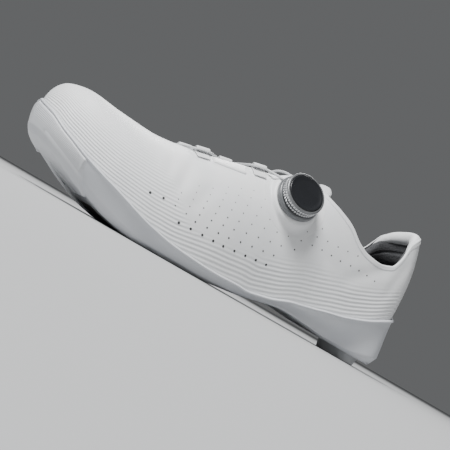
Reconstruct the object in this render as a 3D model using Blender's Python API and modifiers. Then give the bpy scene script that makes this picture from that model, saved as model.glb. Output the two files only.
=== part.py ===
"""Road cycling shoe for the left foot, standing on its heel pad and the ball of its sole.

Frame while modelling: the toe points to -Y, the lateral side is +X, up is +Z, the back of the
heel is at Y = 0 and the floor at Z = 0. At the end every piece is shifted so that the origin is
the middle of the bounding box on the floor.
"""
import math
from collections import namedtuple

import bmesh
import bpy
import numpy as np
from mathutils import Matrix, Vector

MM = 0.001

# Overall sizes
LENGTH = 287 * MM
BALL_WIDTH = 101 * MM
WAIST_WIDTH = 69 * MM
HEEL_WIDTH = 67 * MM
TOE_SPRING = 30 * MM
ARCH_HEIGHT = 8.8 * MM
HEEL_PAD_HEIGHT = 6 * MM

# Sole sizes
HEEL_CUP = 38.5 * MM
SIDE_WALL = 10 * MM
FLANK_INSET = 5.6 * MM
SOLE_THICKNESS = 3.6 * MM
RIM = 2.1 * MM
LIP_CREST = 1.0 * MM
LIP_OVERHANG = 0.9 * MM
TUCK_MIN = 2.1 * MM
TUCK_SHARE = 0.5
ARCH_SPINE = 1.4 * MM
ARCH_SPINE_WIDTH = 17 * MM
INSOLE_THICKNESS = 3 * MM
INSOLE_MARGIN = 0.1
INSOLE_LIFT = 0.9 * MM

# Upper sizes
WALL = 1.8 * MM
TAB_HEIGHT = 104 * MM
ANKLE_HEIGHT = 68 * MM
INSTEP_HEIGHT = 88 * MM
VAMP_HEIGHT = 62 * MM
TOE_BOX_HEIGHT = 67 * MM
THROAT_WIDTH = 24 * MM
THROAT_FRONT = 0.7073 * LENGTH
THROAT_BACK = 0.3693 * LENGTH
THROAT_PAST_COLLAR = 14 * MM
THROAT_FLARE = 1.25
TONGUE_THICKNESS = 2.6 * MM
TONGUE_WIDTH = 44 * MM
TONGUE_TOP = 0.345 * LENGTH
TONGUE_TUCK = 10 * MM

# Cleat window, slots and nuts
PLATE_THICKNESS = 1.2 * MM
PLATE_RECESS = 0.4 * MM
WINDOW_CORNER = 4 * MM
SLOT_LENGTH = 16 * MM
SLOT_WIDTH = 7 * MM
BOLT_SPREAD = 46 * MM
BOLT_REACH = 32 * MM
BOLT_FRONT = 0.7143 * LENGTH
BOLT_CENTRE = -2.5 * MM
NUT_LENGTH = 11 * MM
NUT_WIDTH = 6.2 * MM
NUT_BORE = 4.6 * MM

# Toe bumper and vents
BUMPER_RAISE = 1.3 * MM
VENT_DEPTH = 1.2 * MM

# Dial, guides and lace
DIAL_AT = 0.4321 * LENGTH
DIAL_ANGLE = 51
DIAL_BASE_RADIUS = 15.5 * MM
DIAL_BASE_HEIGHT = 3.6 * MM
DIAL_RING_RADIUS = 14.2 * MM
DIAL_RING_HEIGHT = 6.4 * MM
DIAL_CAP_RADIUS = 12.2 * MM
DIAL_CAP_HEIGHT = 1.5 * MM
DIAL_POST_RADIUS = 6 * MM
DIAL_PAD_RADIUS = 19 * MM
DIAL_SEAT = 3.2 * MM
PAD_FOOT = -14 * MM
PAD_EDGE = -2 * MM
PAD_SHOULDER = 1.4 * MM
PAD_SLOPE = 0.8 * MM
KNURLS = 24
FACING_RAISE = 0.9 * MM
FACING_WIDTH = 9 * MM
LACE = 1.5 * MM
GUIDE_BORE = 2.6 * MM
GUIDE_WALL = 0.8 * MM
GUIDE_LENGTH = 9 * MM
GUIDE_TAB = 8 * MM

CLEAR = 0.3 * MM

# Mesh density
HALF_COUNT = 32
COLUMN_COUNT = 2 * HALF_COUNT
ARCH_ROWS = 12

Plan = namedtuple("Plan", "at width lateral medial")
Ground = namedtuple("Ground", "at heel arch toe")
Lip = namedtuple("Lip", "at cup lateral medial")
Flank = namedtuple("Flank", "at rise lateral medial power valley floor")
Crown = namedtuple("Crown", "at of height lateral medial pinch centre")
Edge = namedtuple("Edge", "at of height")

# Outline from above: shares of a named width, lateral and medial of the heel's middle line
OUTLINE = [
    Plan(0.00, HEEL_WIDTH, 0.000, 0.000),
    Plan(0.02, HEEL_WIDTH, 0.255, 0.255),
    Plan(0.06, HEEL_WIDTH, 0.415, 0.415),
    Plan(0.12, HEEL_WIDTH, 0.490, 0.485),
    Plan(0.20, HEEL_WIDTH, 0.510, 0.490),
    Plan(0.30, WAIST_WIDTH, 0.505, 0.455),
    Plan(0.40, WAIST_WIDTH, 0.540, 0.475),
    Plan(0.50, BALL_WIDTH, 0.418, 0.382),
    Plan(0.60, BALL_WIDTH, 0.467, 0.460),
    Plan(0.67, BALL_WIDTH, 0.480, 0.503),
    Plan(0.74, BALL_WIDTH, 0.466, 0.517),
    Plan(0.81, BALL_WIDTH, 0.418, 0.500),
    Plan(0.88, BALL_WIDTH, 0.345, 0.462),
    Plan(0.94, BALL_WIDTH, 0.247, 0.408),
    Plan(0.98, BALL_WIDTH, 0.125, 0.325),
    Plan(1.00, BALL_WIDTH, -0.100, 0.100),
]

# Underside along its middle line: shares of pad height, arch height and toe spring
GROUND = [
    Ground(0.00, 1.20, 0.00, 0.000),
    Ground(0.04, 1.00, 0.00, 0.000),
    Ground(0.18, 1.00, 0.00, 0.000),
    Ground(0.25, 0.45, 0.55, 0.000),
    Ground(0.33, 0.05, 0.95, 0.000),
    Ground(0.39, 0.00, 0.72, 0.000),
    Ground(0.45, 0.00, 0.38, 0.000),
    Ground(0.50, 0.00, 0.19, 0.000),
    Ground(0.55, 0.00, 0.05, 0.000),
    Ground(0.60, 0.00, 0.00, 0.000),
    Ground(0.73, 0.00, 0.00, 0.000),
    Ground(0.765, 0.00, 0.00, 0.045),
    Ground(0.80, 0.00, 0.00, 0.120),
    Ground(0.836, 0.00, 0.00, 0.240),
    Ground(0.872, 0.00, 0.00, 0.385),
    Ground(0.907, 0.00, 0.00, 0.545),
    Ground(0.943, 0.00, 0.00, 0.710),
    Ground(0.98, 0.00, 0.00, 0.890),
    Ground(1.00, 0.00, 0.00, 1.000),
]

# Lip above that line: shares of the heel cup and of the side wall
LIP = [
    Lip(0.00, 1.00, 0.00, 0.00),
    Lip(0.05, 0.89, 0.00, 0.00),
    Lip(0.155, 0.61, 0.00, 0.05),
    Lip(0.225, 0.45, 0.00, 0.20),
    Lip(0.325, 0.22, 0.07, 0.50),
    Lip(0.405, 0.06, 0.35, 0.80),
    Lip(0.45, 0.00, 0.58, 0.95),
    Lip(0.485, 0.00, 0.72, 1.00),
    Lip(0.57, 0.00, 0.86, 1.02),
    Lip(0.67, 0.00, 1.05, 1.12),
    Lip(0.745, 0.00, 1.42, 1.42),
    Lip(0.81, 0.00, 1.62, 1.60),
    Lip(0.87, 0.00, 1.48, 1.48),
    Lip(0.91, 0.00, 1.38, 1.40),
    Lip(0.95, 0.00, 1.38, 1.40),
    Lip(0.985, 0.00, 1.52, 1.52),
    Lip(1.00, 0.00, 1.65, 1.65),
]

# Flank under the lip: edge rise, edge insets, hollow power, heel valley and sole thickness
FLANK = [
    Flank(0.00, 0.95, -0.45, -0.45, 1.40, 0.2, 2.20),
    Flank(0.05, 0.60, -0.25, -0.25, 1.40, 0.6, 2.20),
    Flank(0.12, 0.25, 1.00, 0.20, 1.20, 1.0, 2.20),
    Flank(0.20, 0.15, 1.85, 0.20, 0.80, 1.0, 2.10),
    Flank(0.30, 0.10, 1.55, 0.35, 0.75, 0.8, 1.50),
    Flank(0.38, 0.08, 1.15, 0.65, 0.70, 0.3, 1.10),
    Flank(0.45, 0.10, 0.95, 0.90, 0.70, 0.0, 0.95),
    Flank(0.55, 0.20, 0.90, 0.90, 0.70, 0.0, 1.00),
    Flank(0.65, 0.25, 0.92, 0.92, 0.70, 0.0, 1.00),
    Flank(0.75, 0.33, 0.95, 0.95, 0.70, 0.0, 1.10),
    Flank(0.82, 0.40, 0.95, 0.95, 0.80, 0.0, 1.15),
    Flank(0.88, 0.40, 0.80, 0.80, 1.30, 0.0, 1.20),
    Flank(0.94, 0.38, 0.60, 0.60, 1.80, 0.0, 1.20),
    Flank(1.00, 0.35, 0.40, 0.40, 2.00, 0.0, 1.20),
]

# Upper's ridge line and how square its sections are; pinch draws the ankle walls in
CROWN = [
    Crown(0.00, TAB_HEIGHT, 1.420, 2.60, 2.60, 0.34, 0.000),
    Crown(0.10, TAB_HEIGHT, 1.420, 2.60, 2.60, 0.30, 0.000),
    Crown(0.20, TAB_HEIGHT, 1.350, 2.75, 2.60, 0.15, 0.000),
    Crown(0.28, TAB_HEIGHT, 1.120, 2.85, 2.50, 0.07, 0.000),
    Crown(0.37, INSTEP_HEIGHT, 1.070, 2.55, 2.30, 0.03, -0.010),
    Crown(0.44, INSTEP_HEIGHT, 0.995, 2.20, 2.10, 0.00, -0.020),
    Crown(0.53, INSTEP_HEIGHT, 0.910, 2.15, 2.05, 0.00, -0.030),
    Crown(0.63, INSTEP_HEIGHT, 0.810, 2.15, 2.10, 0.00, -0.035),
    Crown(0.72, VAMP_HEIGHT, 1.045, 2.20, 2.20, 0.00, -0.040),
    Crown(0.78, VAMP_HEIGHT, 1.015, 2.25, 2.25, 0.00, -0.048),
    Crown(0.86, TOE_BOX_HEIGHT, 0.950, 2.30, 2.35, 0.00, -0.062),
    Crown(0.92, TOE_BOX_HEIGHT, 0.970, 2.30, 2.40, 0.00, -0.072),
    Crown(0.97, TOE_BOX_HEIGHT, 0.930, 2.20, 2.30, 0.00, -0.084),
    Crown(1.00, TOE_BOX_HEIGHT, 0.710, 2.00, 2.00, 0.00, -0.095),
]

# Topline seen from the side: shares of the length and of a named height
TOPLINE = [
    Edge(-0.050, TAB_HEIGHT, 1.00),
    Edge(0.042, TAB_HEIGHT, 1.00),
    Edge(0.060, TAB_HEIGHT, 0.975),
    Edge(0.084, TAB_HEIGHT, 0.890),
    Edge(0.102, TAB_HEIGHT, 0.760),
    Edge(0.122, ANKLE_HEIGHT, 1.050),
    Edge(0.168, ANKLE_HEIGHT, 1.000),
    Edge(0.203, ANKLE_HEIGHT, 1.010),
    Edge(0.238, ANKLE_HEIGHT, 1.055),
    Edge(0.280, INSTEP_HEIGHT, 0.900),
    Edge(0.322, INSTEP_HEIGHT, 0.955),
    Edge(0.350, INSTEP_HEIGHT, 0.990),
    Edge(0.374, INSTEP_HEIGHT, 1.030),
    Edge(0.386, INSTEP_HEIGHT, 1.250),
]

# Back of the heel above its cup: how far it leans forward over a height
HEEL_LEAN_TOP = 15 * MM
HEEL_LEAN_REACH = 75 * MM


def end_angle(at):
    """Turn a share of the length into the angle that spaces stations closely at both ends."""
    return np.arccos(np.clip(1 - 2 * np.asarray(at, float), -1, 1))


def smooth_line(xs, ys):
    """Monotone cubic through the points, which never overshoots a row of a table."""
    xs = np.asarray(xs, float)
    ys = np.asarray(ys, float)
    run = np.diff(xs)
    slope = np.diff(ys) / run
    tangent = np.zeros(len(xs))
    tangent[0] = slope[0]
    tangent[-1] = slope[-1]
    for k in range(1, len(xs) - 1):
        if slope[k - 1] * slope[k] > 0:
            tangent[k] = 2 / (1 / slope[k - 1] + 1 / slope[k])

    def read(x):
        x = np.clip(np.asarray(x, float), xs[0], xs[-1])
        k = np.clip(np.searchsorted(xs, x, side="right") - 1, 0, len(run) - 1)
        t = (x - xs[k]) / run[k]
        rest = 1 - t
        start = (1 + 2 * t) * rest ** 2 * ys[k] + t * rest ** 2 * run[k] * tangent[k]
        end = t ** 2 * (3 - 2 * t) * ys[k + 1] - t ** 2 * rest * run[k] * tangent[k + 1]
        return start + end

    return read


def along(rows, pick):
    """Read one column of a table at a share of the length."""
    line = smooth_line(end_angle([row.at for row in rows]), [pick(row) for row in rows])
    return lambda at: line(end_angle(at))


outline_lateral = along(OUTLINE, lambda row: row.width * row.lateral)
outline_medial = along(OUTLINE, lambda row: -row.width * row.medial)
ground_height = along(
    GROUND, lambda row: HEEL_PAD_HEIGHT * row.heel + ARCH_HEIGHT * row.arch + TOE_SPRING * row.toe)
wall_lateral = along(LIP, lambda row: HEEL_CUP * row.cup + SIDE_WALL * row.lateral)
wall_medial = along(LIP, lambda row: HEEL_CUP * row.cup + SIDE_WALL * row.medial)
edge_rise = along(FLANK, lambda row: SIDE_WALL * row.rise)
edge_lateral = along(FLANK, lambda row: FLANK_INSET * row.lateral)
edge_medial = along(FLANK, lambda row: FLANK_INSET * row.medial)
hollow_power = along(FLANK, lambda row: row.power)
heel_valley = along(FLANK, lambda row: row.valley)
floor_rise = along(FLANK, lambda row: SOLE_THICKNESS * row.floor)
crown_height = along(CROWN, lambda row: row.of * row.height)
square_lateral = along(CROWN, lambda row: row.lateral)
square_medial = along(CROWN, lambda row: row.medial)
ankle_pinch = along(CROWN, lambda row: row.pinch)
ridge_line = along(CROWN, lambda row: BALL_WIDTH * row.centre)


def side_pick(side, lateral, medial):
    """Blend of two values: side is +1 on the lateral half and -1 on the medial half."""
    return np.where(np.asarray(side) > 0, lateral, medial)


def plan_point(at, side):
    """Outline point (x, length) for a station and a side."""
    x = side_pick(side, outline_lateral(at), outline_medial(at))
    return np.stack([x, np.asarray(at, float) * LENGTH], axis=-1)


def plan_normal(at, side):
    """Outward normal of the outline, by a small step of the end angle."""
    step = 0.004
    angle = end_angle(at)
    low = angle - step
    high = angle + step

    def point(value):
        flipped = (value < 0) | (value > math.pi)
        share = (1 - np.cos(value)) / 2
        return plan_point(share, np.where(flipped, -np.asarray(side), side))

    travel = point(high) - point(low)
    normal = np.stack([travel[..., 1], -travel[..., 0]], axis=-1) * np.asarray(side)[..., None]
    return normal / np.linalg.norm(normal, axis=-1, keepdims=True)


def lip_height(at, side):
    return ground_height(at) + side_pick(side, wall_lateral(at), wall_medial(at))


def edge_inset(at, side):
    return side_pick(side, edge_lateral(at), edge_medial(at))


def flank_inset(at, side, share):
    """Inset of the sole's side at a share of the way from the lip down to the bottom edge."""
    hollow = share ** hollow_power(at)
    valley = share * share * (3 - 2 * share)
    blend = heel_valley(at)
    return LIP_OVERHANG + (edge_inset(at, side) - LIP_OVERHANG) * (hollow * (1 - blend) + valley * blend)


def flank_height(at, side, share):
    top = lip_height(at, side) - 2 * LIP_CREST
    bottom = ground_height(at) + edge_rise(at)
    return top + (bottom - top) * share


def tuck_depth(at, side):
    """How far the upper reaches down inside the sole's lip."""
    depth = lip_height(at, side) - ground_height(at) - floor_rise(at)
    return np.minimum(np.maximum(TUCK_MIN, TUCK_SHARE * depth), depth)


def share_at_depth(at, side, depth):
    top = 2 * LIP_CREST
    run = lip_height(at, side) - ground_height(at) - edge_rise(at) - top
    return np.clip((depth - top) / run, 0, 1)


def inner_inset(at, side, depth):
    """Inset of the inner face of the sole's wall: straight down as far as the upper is tucked in."""
    tuck = tuck_depth(at, side)
    low = np.maximum(depth, tuck)
    outer = flank_inset(at, side, share_at_depth(at, side, low)) - LIP_OVERHANG
    return RIM + outer * np.minimum(depth / tuck, 1)


def upper_inset(at, side, depth):
    return inner_inset(at, side, depth) + CLEAR


def column_stations():
    """Share of the length and side of each column round the outline."""
    k = np.arange(COLUMN_COUNT)
    step = np.where(k <= HALF_COUNT, k, COLUMN_COUNT - k)
    at = (1 - np.cos(math.pi * step / HALF_COUNT)) / 2
    side = np.where(k <= HALF_COUNT, 1, -1)
    return at, side


AT, SIDE = column_stations()
PLAN = plan_point(AT, SIDE)
NORMAL = plan_normal(AT, SIDE)


def ring(inset, height):
    """Loop of points round the outline, moved in by inset, at a height."""
    flat = PLAN - NORMAL * np.broadcast_to(inset, AT.shape)[:, None]
    return np.column_stack([flat[:, 0], -flat[:, 1], np.broadcast_to(height, AT.shape)])


def mirror_column(k):
    return (COLUMN_COUNT - k) % COLUMN_COUNT


def toward_middle(loop, share, height_at, end_gap):
    """Loop moved a share of the way to the middle line, which stops end_gap before both ends."""
    other = loop[[mirror_column(k) for k in range(COLUMN_COUNT)]]
    middle = (loop + other) / 2
    reach = LENGTH - 2 * end_gap
    middle[:, 1] = -(end_gap + AT * reach)
    moved = loop + (middle - loop) * share
    moved[:, 2] = height_at(-moved[:, 1] / LENGTH, share)
    return moved


def wrap_faces(rows, columns, close):
    """Quads between neighbouring loops of a grid."""
    faces = []
    span = columns if close else columns - 1
    for r in range(rows - 1):
        for c in range(span):
            d = (c + 1) % columns
            faces.append((r * columns + c, r * columns + d, (r + 1) * columns + d, (r + 1) * columns + c))
    return faces


def mesh_from(name, points, faces):
    """Mesh with its doubles merged and its faces turned outwards."""
    mesh = bpy.data.meshes.new(name)
    mesh.from_pydata([tuple(point) for point in points], [], faces)
    body = bmesh.new()
    body.from_mesh(mesh)
    bmesh.ops.remove_doubles(body, verts=body.verts, dist=0.00002)
    bmesh.ops.dissolve_degenerate(body, edges=body.edges, dist=0.000005)
    bmesh.ops.recalc_face_normals(body, faces=body.faces)
    body.to_mesh(mesh)
    body.free()
    return mesh


def fresh_collection(name):
    collection = bpy.data.collections.new(name)
    bpy.context.scene.collection.children.link(collection)
    return collection


for leftover in list(bpy.data.objects):
    bpy.data.objects.remove(leftover, do_unlink=True)
SHOE = fresh_collection("cycling_shoe")
CUTTERS = fresh_collection("cutters")


def material(name, colour, roughness, metallic=0.0):
    made = bpy.data.materials.new(name)
    made.use_nodes = True
    shader = made.node_tree.nodes["Principled BSDF"]
    shader.inputs["Base Color"].default_value = (*colour, 1)
    shader.inputs["Roughness"].default_value = roughness
    shader.inputs["Metallic"].default_value = metallic
    return made


WHITE_SOLE = (0.72, 0.73, 0.75)
WHITE_UPPER = (0.82, 0.83, 0.83)
DARK_PLATE = (0.03, 0.03, 0.032)


def place(mesh, name, finish):
    """Put a finished mesh into the shoe's collection."""
    thing = bpy.data.objects.new(name, mesh)
    SHOE.objects.link(thing)
    thing.data.materials.clear()
    thing.data.materials.append(finish)
    return thing


def hide_cutter(mesh, name):
    thing = bpy.data.objects.new(name, mesh)
    CUTTERS.objects.link(thing)
    thing.hide_render = True
    thing.display_type = "WIRE"
    return thing


def cut(thing, cutter, operation="DIFFERENCE"):
    step = thing.modifiers.new(operation.lower() + "_" + cutter.name, "BOOLEAN")
    step.operation = operation
    step.solver = "EXACT"
    step.object = cutter


def baked(thing):
    """Evaluate the modifiers of a helper object into a plain mesh."""
    bpy.context.view_layer.update()
    ready = thing.evaluated_get(bpy.context.evaluated_depsgraph_get())
    return bpy.data.meshes.new_from_object(ready)


# Sole

BOTTOM_SHARES = (0.0, 0.06, 0.13, 0.40, 0.70, 1.0)
FLAT_FROM = 0.13
FLANK_SHARES = (0.10, 0.24, 0.42, 0.62, 0.82)
BOTTOM_END = 26 * MM
FLOOR_END = 30 * MM


def bottom_height(at, share):
    """Underside: flat across, curling up only in the outer part of its width."""
    curl = np.clip((FLAT_FROM - share) / FLAT_FROM, 0, 1) ** 1.5
    return ground_height(at) + edge_rise(at) * curl


def arch_ridge(points):
    """Lower the middle of the waist into a raised spine under the arch."""
    at = -points[:, 1] / LENGTH
    fade = np.clip((at - 0.19) / 0.06, 0, 1) * np.clip((0.425 - at) / 0.05, 0, 1)
    across = np.clip(1 - np.abs(points[:, 0]) / (ARCH_SPINE_WIDTH / 2), 0, 1)
    points[:, 2] -= ARCH_SPINE * fade * across
    return points


def outer_rings(grow=0.0):
    """Loops of the sole's outside, from the middle of the underside up to the lip's nose."""
    edge = ring(edge_inset(AT, SIDE) - grow, ground_height(AT) + edge_rise(AT) - grow)
    loops = []
    for share in reversed(BOTTOM_SHARES):
        loop = toward_middle(edge, share, bottom_height, BOTTOM_END)
        if share == 0:
            loop = edge.copy()
        else:
            loop = arch_ridge(loop)
            loop[:, 2] -= grow
        loops.append(loop)
    for share in reversed(FLANK_SHARES):
        loops.append(ring(flank_inset(AT, SIDE, share) - grow, flank_height(AT, SIDE, share) - grow * share))
    loops.append(ring(LIP_OVERHANG - grow, lip_height(AT, SIDE) - 2 * LIP_CREST))
    return loops


def floor_height(at):
    return ground_height(at) + floor_rise(at)


def floor_inset():
    depth = lip_height(AT, SIDE) - floor_height(AT)
    ledge = upper_inset(AT, SIDE, tuck_depth(AT, SIDE)) + WALL + 1.2 * CLEAR
    low = inner_inset(AT, SIDE, depth) + RIM * 0.3
    return np.maximum(ledge + 1.0 * MM, low)


def inner_rings():
    """Loops of the tray: down inside the rim, over the ledge that carries the upper, to the floor."""
    lip = lip_height(AT, SIDE)
    tuck = tuck_depth(AT, SIDE)
    loops = [ring(0, lip - LIP_CREST), ring(0.35 * RIM, lip - 0.15 * LIP_CREST), ring(0.8 * RIM, lip)]
    loops.append(ring(inner_inset(AT, SIDE, tuck), lip - tuck))
    ledge_end = upper_inset(AT, SIDE, tuck) + WALL + 1.2 * CLEAR
    loops.append(ring(ledge_end, lip - tuck))
    return loops + floor_loops()


def floor_loops():
    """Loops of the tray's floor, from its edge to the middle line."""
    deepest = lip_height(AT, SIDE) - tuck_depth(AT, SIDE) - 0.05 * MM
    edge = ring(floor_inset(), np.minimum(floor_height(AT), deepest))
    inner = [toward_middle(edge, share, lambda at, s: floor_height(at), FLOOR_END) for share in (0.3, 1.0)]
    return [edge] + inner


def make_outsole():
    loops = outer_rings() + inner_rings()
    points = np.concatenate(loops)
    mesh = mesh_from("outsole", points, wrap_faces(len(loops), COLUMN_COUNT, True))
    return place(mesh, "outsole", material("sole_white", WHITE_SOLE, 0.45))


outsole = make_outsole()


# Upper

def heel_lean(height):
    """Forward lean of the heel's back at a height."""
    share = np.clip((height - HEEL_CUP - HEEL_PAD_HEIGHT) / HEEL_LEAN_REACH, 0, 1.6)
    return HEEL_LEAN_TOP * share ** 2 - 1.5 * MM * np.sin(math.pi * np.clip(share, 0, 1)) ** 2


def section_point(at, side, angle, grow=0.0):
    """Point of the upper's outside: station, side and angle from the lip (0) to the ridge."""
    at = np.asarray(at, float)
    base = plan_point(at, side) - plan_normal(at, side) * (upper_inset(at, side, 0) - grow)[..., None]
    other = plan_point(at, -np.asarray(side)) - plan_normal(at, -np.asarray(side)) * (
        upper_inset(at, side, 0) - grow)[..., None]
    middle_y = (base[..., 1] + other[..., 1]) / 2
    centre = ridge_line(at)
    square = side_pick(side, square_lateral(at), square_medial(at))
    lip = lip_height(at, side)
    out = np.abs(np.cos(angle)) ** (2 / square)
    up = np.abs(np.sin(angle)) ** (2 / square)
    height = lip + (crown_height(at) + grow - lip) * up
    over = height - lip
    pinch = 1 - ankle_pinch(at) * np.clip(over / (60 * MM), 0, 1.3) ** 1.6
    x = centre + (base[..., 0] - centre) * out * pinch
    y = base[..., 1] + (middle_y - base[..., 1]) * np.sin(angle) ** 2
    y = y + heel_lean(height) * np.clip(1 - at / 0.24, 0, 1) ** 1.3
    return np.stack([x, -y, height], axis=-1)


def section_normal(at, side, angle):
    """Outward normal of the upper there, from two short steps over its surface."""
    step_at = 0.002
    step_angle = 0.01
    here = section_point(at - step_at, side, angle)
    there = section_point(at + step_at, side, angle)
    low = section_point(at, side, angle - step_angle)
    high = section_point(at, side, angle + step_angle)
    normal = np.cross(high - low, there - here) * np.asarray(side)[..., None]
    normal = normal / np.linalg.norm(normal, axis=-1, keepdims=True)
    return normal


def upper_rows(grow=0.0, tuck_rows=(1.0,)):
    """Loops of the upper's outside, from its tucked bottom edge up to the ridge."""
    lip = lip_height(AT, SIDE)
    tuck = tuck_depth(AT, SIDE) - CLEAR
    loops = []
    for share in tuck_rows:
        loops.append(ring(upper_inset(AT, SIDE, tuck * share) - grow, lip - tuck * share))
    for r in range(ARCH_ROWS + 1):
        angle = math.pi / 2 * (r / ARCH_ROWS)
        loops.append(section_point(AT, SIDE, np.full(COLUMN_COUNT, angle), grow))
    return loops


def extruded_outline(name, corners, low, high, axis):
    """Closed prism: a flat outline carried along X or Z."""
    points = []
    for level in (low, high):
        for first, second in corners:
            points.append((level, first, second) if axis == "X" else (first, second, level))
    count = len(corners)
    faces = [tuple(range(count)), tuple(range(2 * count - 1, count - 1, -1))]
    for k in range(count):
        n = (k + 1) % count
        faces.append((k, n, count + n, count + k))
    return mesh_from(name, points, faces)


def topline_cutter():
    """Prism over the collar: everything above the topline, back to behind the heel."""
    line = smooth_line([row.at * LENGTH for row in TOPLINE], [row.of * row.height for row in TOPLINE])
    corners = []
    for y in np.linspace(TOPLINE[0].at * LENGTH, TOPLINE[-1].at * LENGTH, 34):
        corners.append((-y, float(line(y))))
    top = TAB_HEIGHT * 1.7
    corners.append((-TOPLINE[-1].at * LENGTH, top))
    corners.append((-TOPLINE[0].at * LENGTH, top))
    return hide_cutter(extruded_outline("topline", corners, -BALL_WIDTH, BALL_WIDTH, "X"), "topline")


def throat_corners():
    """Throat from above: a slot with a round front, a little wider at the ankle."""
    half = THROAT_WIDTH / 2
    front = THROAT_FRONT
    rear = THROAT_BACK - THROAT_PAST_COLLAR
    corners = []
    for k in range(13):
        turn = math.pi * k / 12
        y = front - half + half * math.sin(turn)
        x = half * math.cos(turn)
        corners.append((x + float(ridge_line(y / LENGTH)), -y))
    for sign in (-1, 1):
        x = sign * half * THROAT_FLARE
        corners.append((x + float(ridge_line(rear / LENGTH)), -rear))
    return corners


def throat_cutter():
    low = ANKLE_HEIGHT * 0.7
    return hide_cutter(extruded_outline("throat", throat_corners(), low, TAB_HEIGHT * 1.7, "Z"), "throat")


def make_upper():
    loops = upper_rows()
    mesh = mesh_from("upper", np.concatenate(loops), wrap_faces(len(loops), COLUMN_COUNT, True))
    thing = place(mesh, "upper", material("upper_white", WHITE_UPPER, 0.5))
    wall = thing.modifiers.new("wall", "SOLIDIFY")
    wall.thickness = WALL
    wall.offset = -1
    wall.use_even_offset = True
    cut(thing, topline_cutter())
    cut(thing, throat_cutter())
    return thing


upper = make_upper()


def closed_loops(name, loops):
    """Solid from loops whose first and last close on the middle line."""
    return mesh_from(name, np.concatenate(loops), wrap_faces(len(loops), COLUMN_COUNT, True))


def skin(name, inner, outer, rim):
    """Thin closed shell between two nested sets of loops, joined along one of their ends."""
    count = len(inner) * COLUMN_COUNT
    faces = wrap_faces(len(inner), COLUMN_COUNT, True)
    faces += [tuple(count + k for k in reversed(face)) for face in faces]
    start = (len(inner) - 1) * COLUMN_COUNT if rim == "last" else 0
    for c in range(COLUMN_COUNT):
        d = (c + 1) % COLUMN_COUNT
        faces.append((start + c, start + d, count + start + d, count + start + c))
    return mesh_from(name, np.concatenate(inner + outer), faces)


def upper_body(grow, name):
    """Filled form of the upper's outside, grown outwards: overlays are cut between two of these."""
    loops = upper_rows(grow, (1.0,))
    floor = loops[0].copy()
    floor[:, 2] -= 4 * MM
    other = floor[[mirror_column(k) for k in range(COLUMN_COUNT)]]
    heights = (floor[:, 2] + other[:, 2]) / 2
    middle = toward_middle(floor, 1.0, lambda at, share: heights, BOTTOM_END)
    return hide_cutter(closed_loops(name, [middle, floor] + loops), name)


# Insole

def make_insole():
    edge, shoulder, middle = floor_loops()
    base = edge + (shoulder - edge) * INSOLE_MARGIN
    rim = edge + (shoulder - edge) * INSOLE_MARGIN * 1.5
    lift = np.array([0, 0, INSOLE_LIFT])
    top = np.array([0, 0, INSOLE_LIFT + INSOLE_THICKNESS])
    loops = [middle + lift, shoulder + lift, base + lift, rim + top, shoulder + top, middle + top]
    return place(closed_loops("insole", loops), "insole", material("insole_grey", (0.09, 0.09, 0.1), 0.9))


insole = make_insole()


# Flat outlines and slabs

def rounded(corners, radius, steps=3):
    """Outline with each corner replaced by a short arc."""
    count = len(corners)
    points = []
    for k in range(count):
        before = Vector(corners[k - 1])
        here = Vector(corners[k])
        after = Vector(corners[(k + 1) % count])
        reach = min(radius, (before - here).length * 0.45, (after - here).length * 0.45)
        start = here + (before - here).normalized() * reach
        end = here + (after - here).normalized() * reach
        for step in range(steps + 1):
            t = step / steps
            point = start * (1 - t) ** 2 + here * 2 * t * (1 - t) + end * t ** 2
            points.append((point.x, point.y))
    return points


def grown(corners, distance):
    """Outline moved outwards by a distance."""
    points = [Vector(corner) for corner in corners]
    area = sum(a.x * b.y - b.x * a.y for a, b in zip(points, points[1:] + points[:1]))
    turn = 1 if area > 0 else -1
    moved = []
    for k, here in enumerate(points):
        before = (here - points[k - 1]).normalized()
        after = (points[(k + 1) % len(points)] - here).normalized()
        normal = Vector((before.y + after.y, -before.x - after.x)) * turn
        normal.normalize()
        lean = max(0.6, normal.dot(Vector((after.y, -after.x)) * turn))
        moved.append(tuple(here + normal * distance / lean))
    return moved


def slab(name, corners, low_at, high_at, slice_from, slice_to, slices):
    """Flat outline with a thickness that follows a height along the shoe. Corners are (x, length)."""
    body = bmesh.new()
    body.faces.new([body.verts.new((x, -y, 0)) for x, y in corners])
    lengths = [y for x, y in corners]
    cuts = np.linspace(slice_from, slice_to, slices)
    knots = np.concatenate([[min(lengths)], cuts, [max(lengths)]])
    lows = low_at(knots / LENGTH)
    highs = high_at(knots / LENGTH)
    for y in cuts:
        bmesh.ops.bisect_plane(
            body, geom=body.verts[:] + body.edges[:] + body.faces[:], dist=0.000001,
            plane_co=(0, -y, 0), plane_no=(0, 1, 0))
    raised = bmesh.ops.extrude_face_region(body, geom=body.faces[:])
    top = {item for item in raised["geom"] if isinstance(item, bmesh.types.BMVert)}
    for vert in body.verts:
        vert.co.z = float(np.interp(-vert.co.y, knots, highs if vert in top else lows))
    bmesh.ops.recalc_face_normals(body, faces=body.faces)
    mesh = bpy.data.meshes.new(name)
    body.to_mesh(mesh)
    body.free()
    return mesh


def stadium(centre_x, centre_y, length, width, steps=5):
    """Slot outline along the shoe."""
    radius = width / 2
    half = length / 2 - radius
    points = []
    for end in (1, -1):
        for k in range(steps + 1):
            turn = math.pi * k / steps
            points.append((centre_x + end * radius * math.cos(turn),
                           centre_y + end * (half + radius * math.sin(turn))))
    return points


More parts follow.
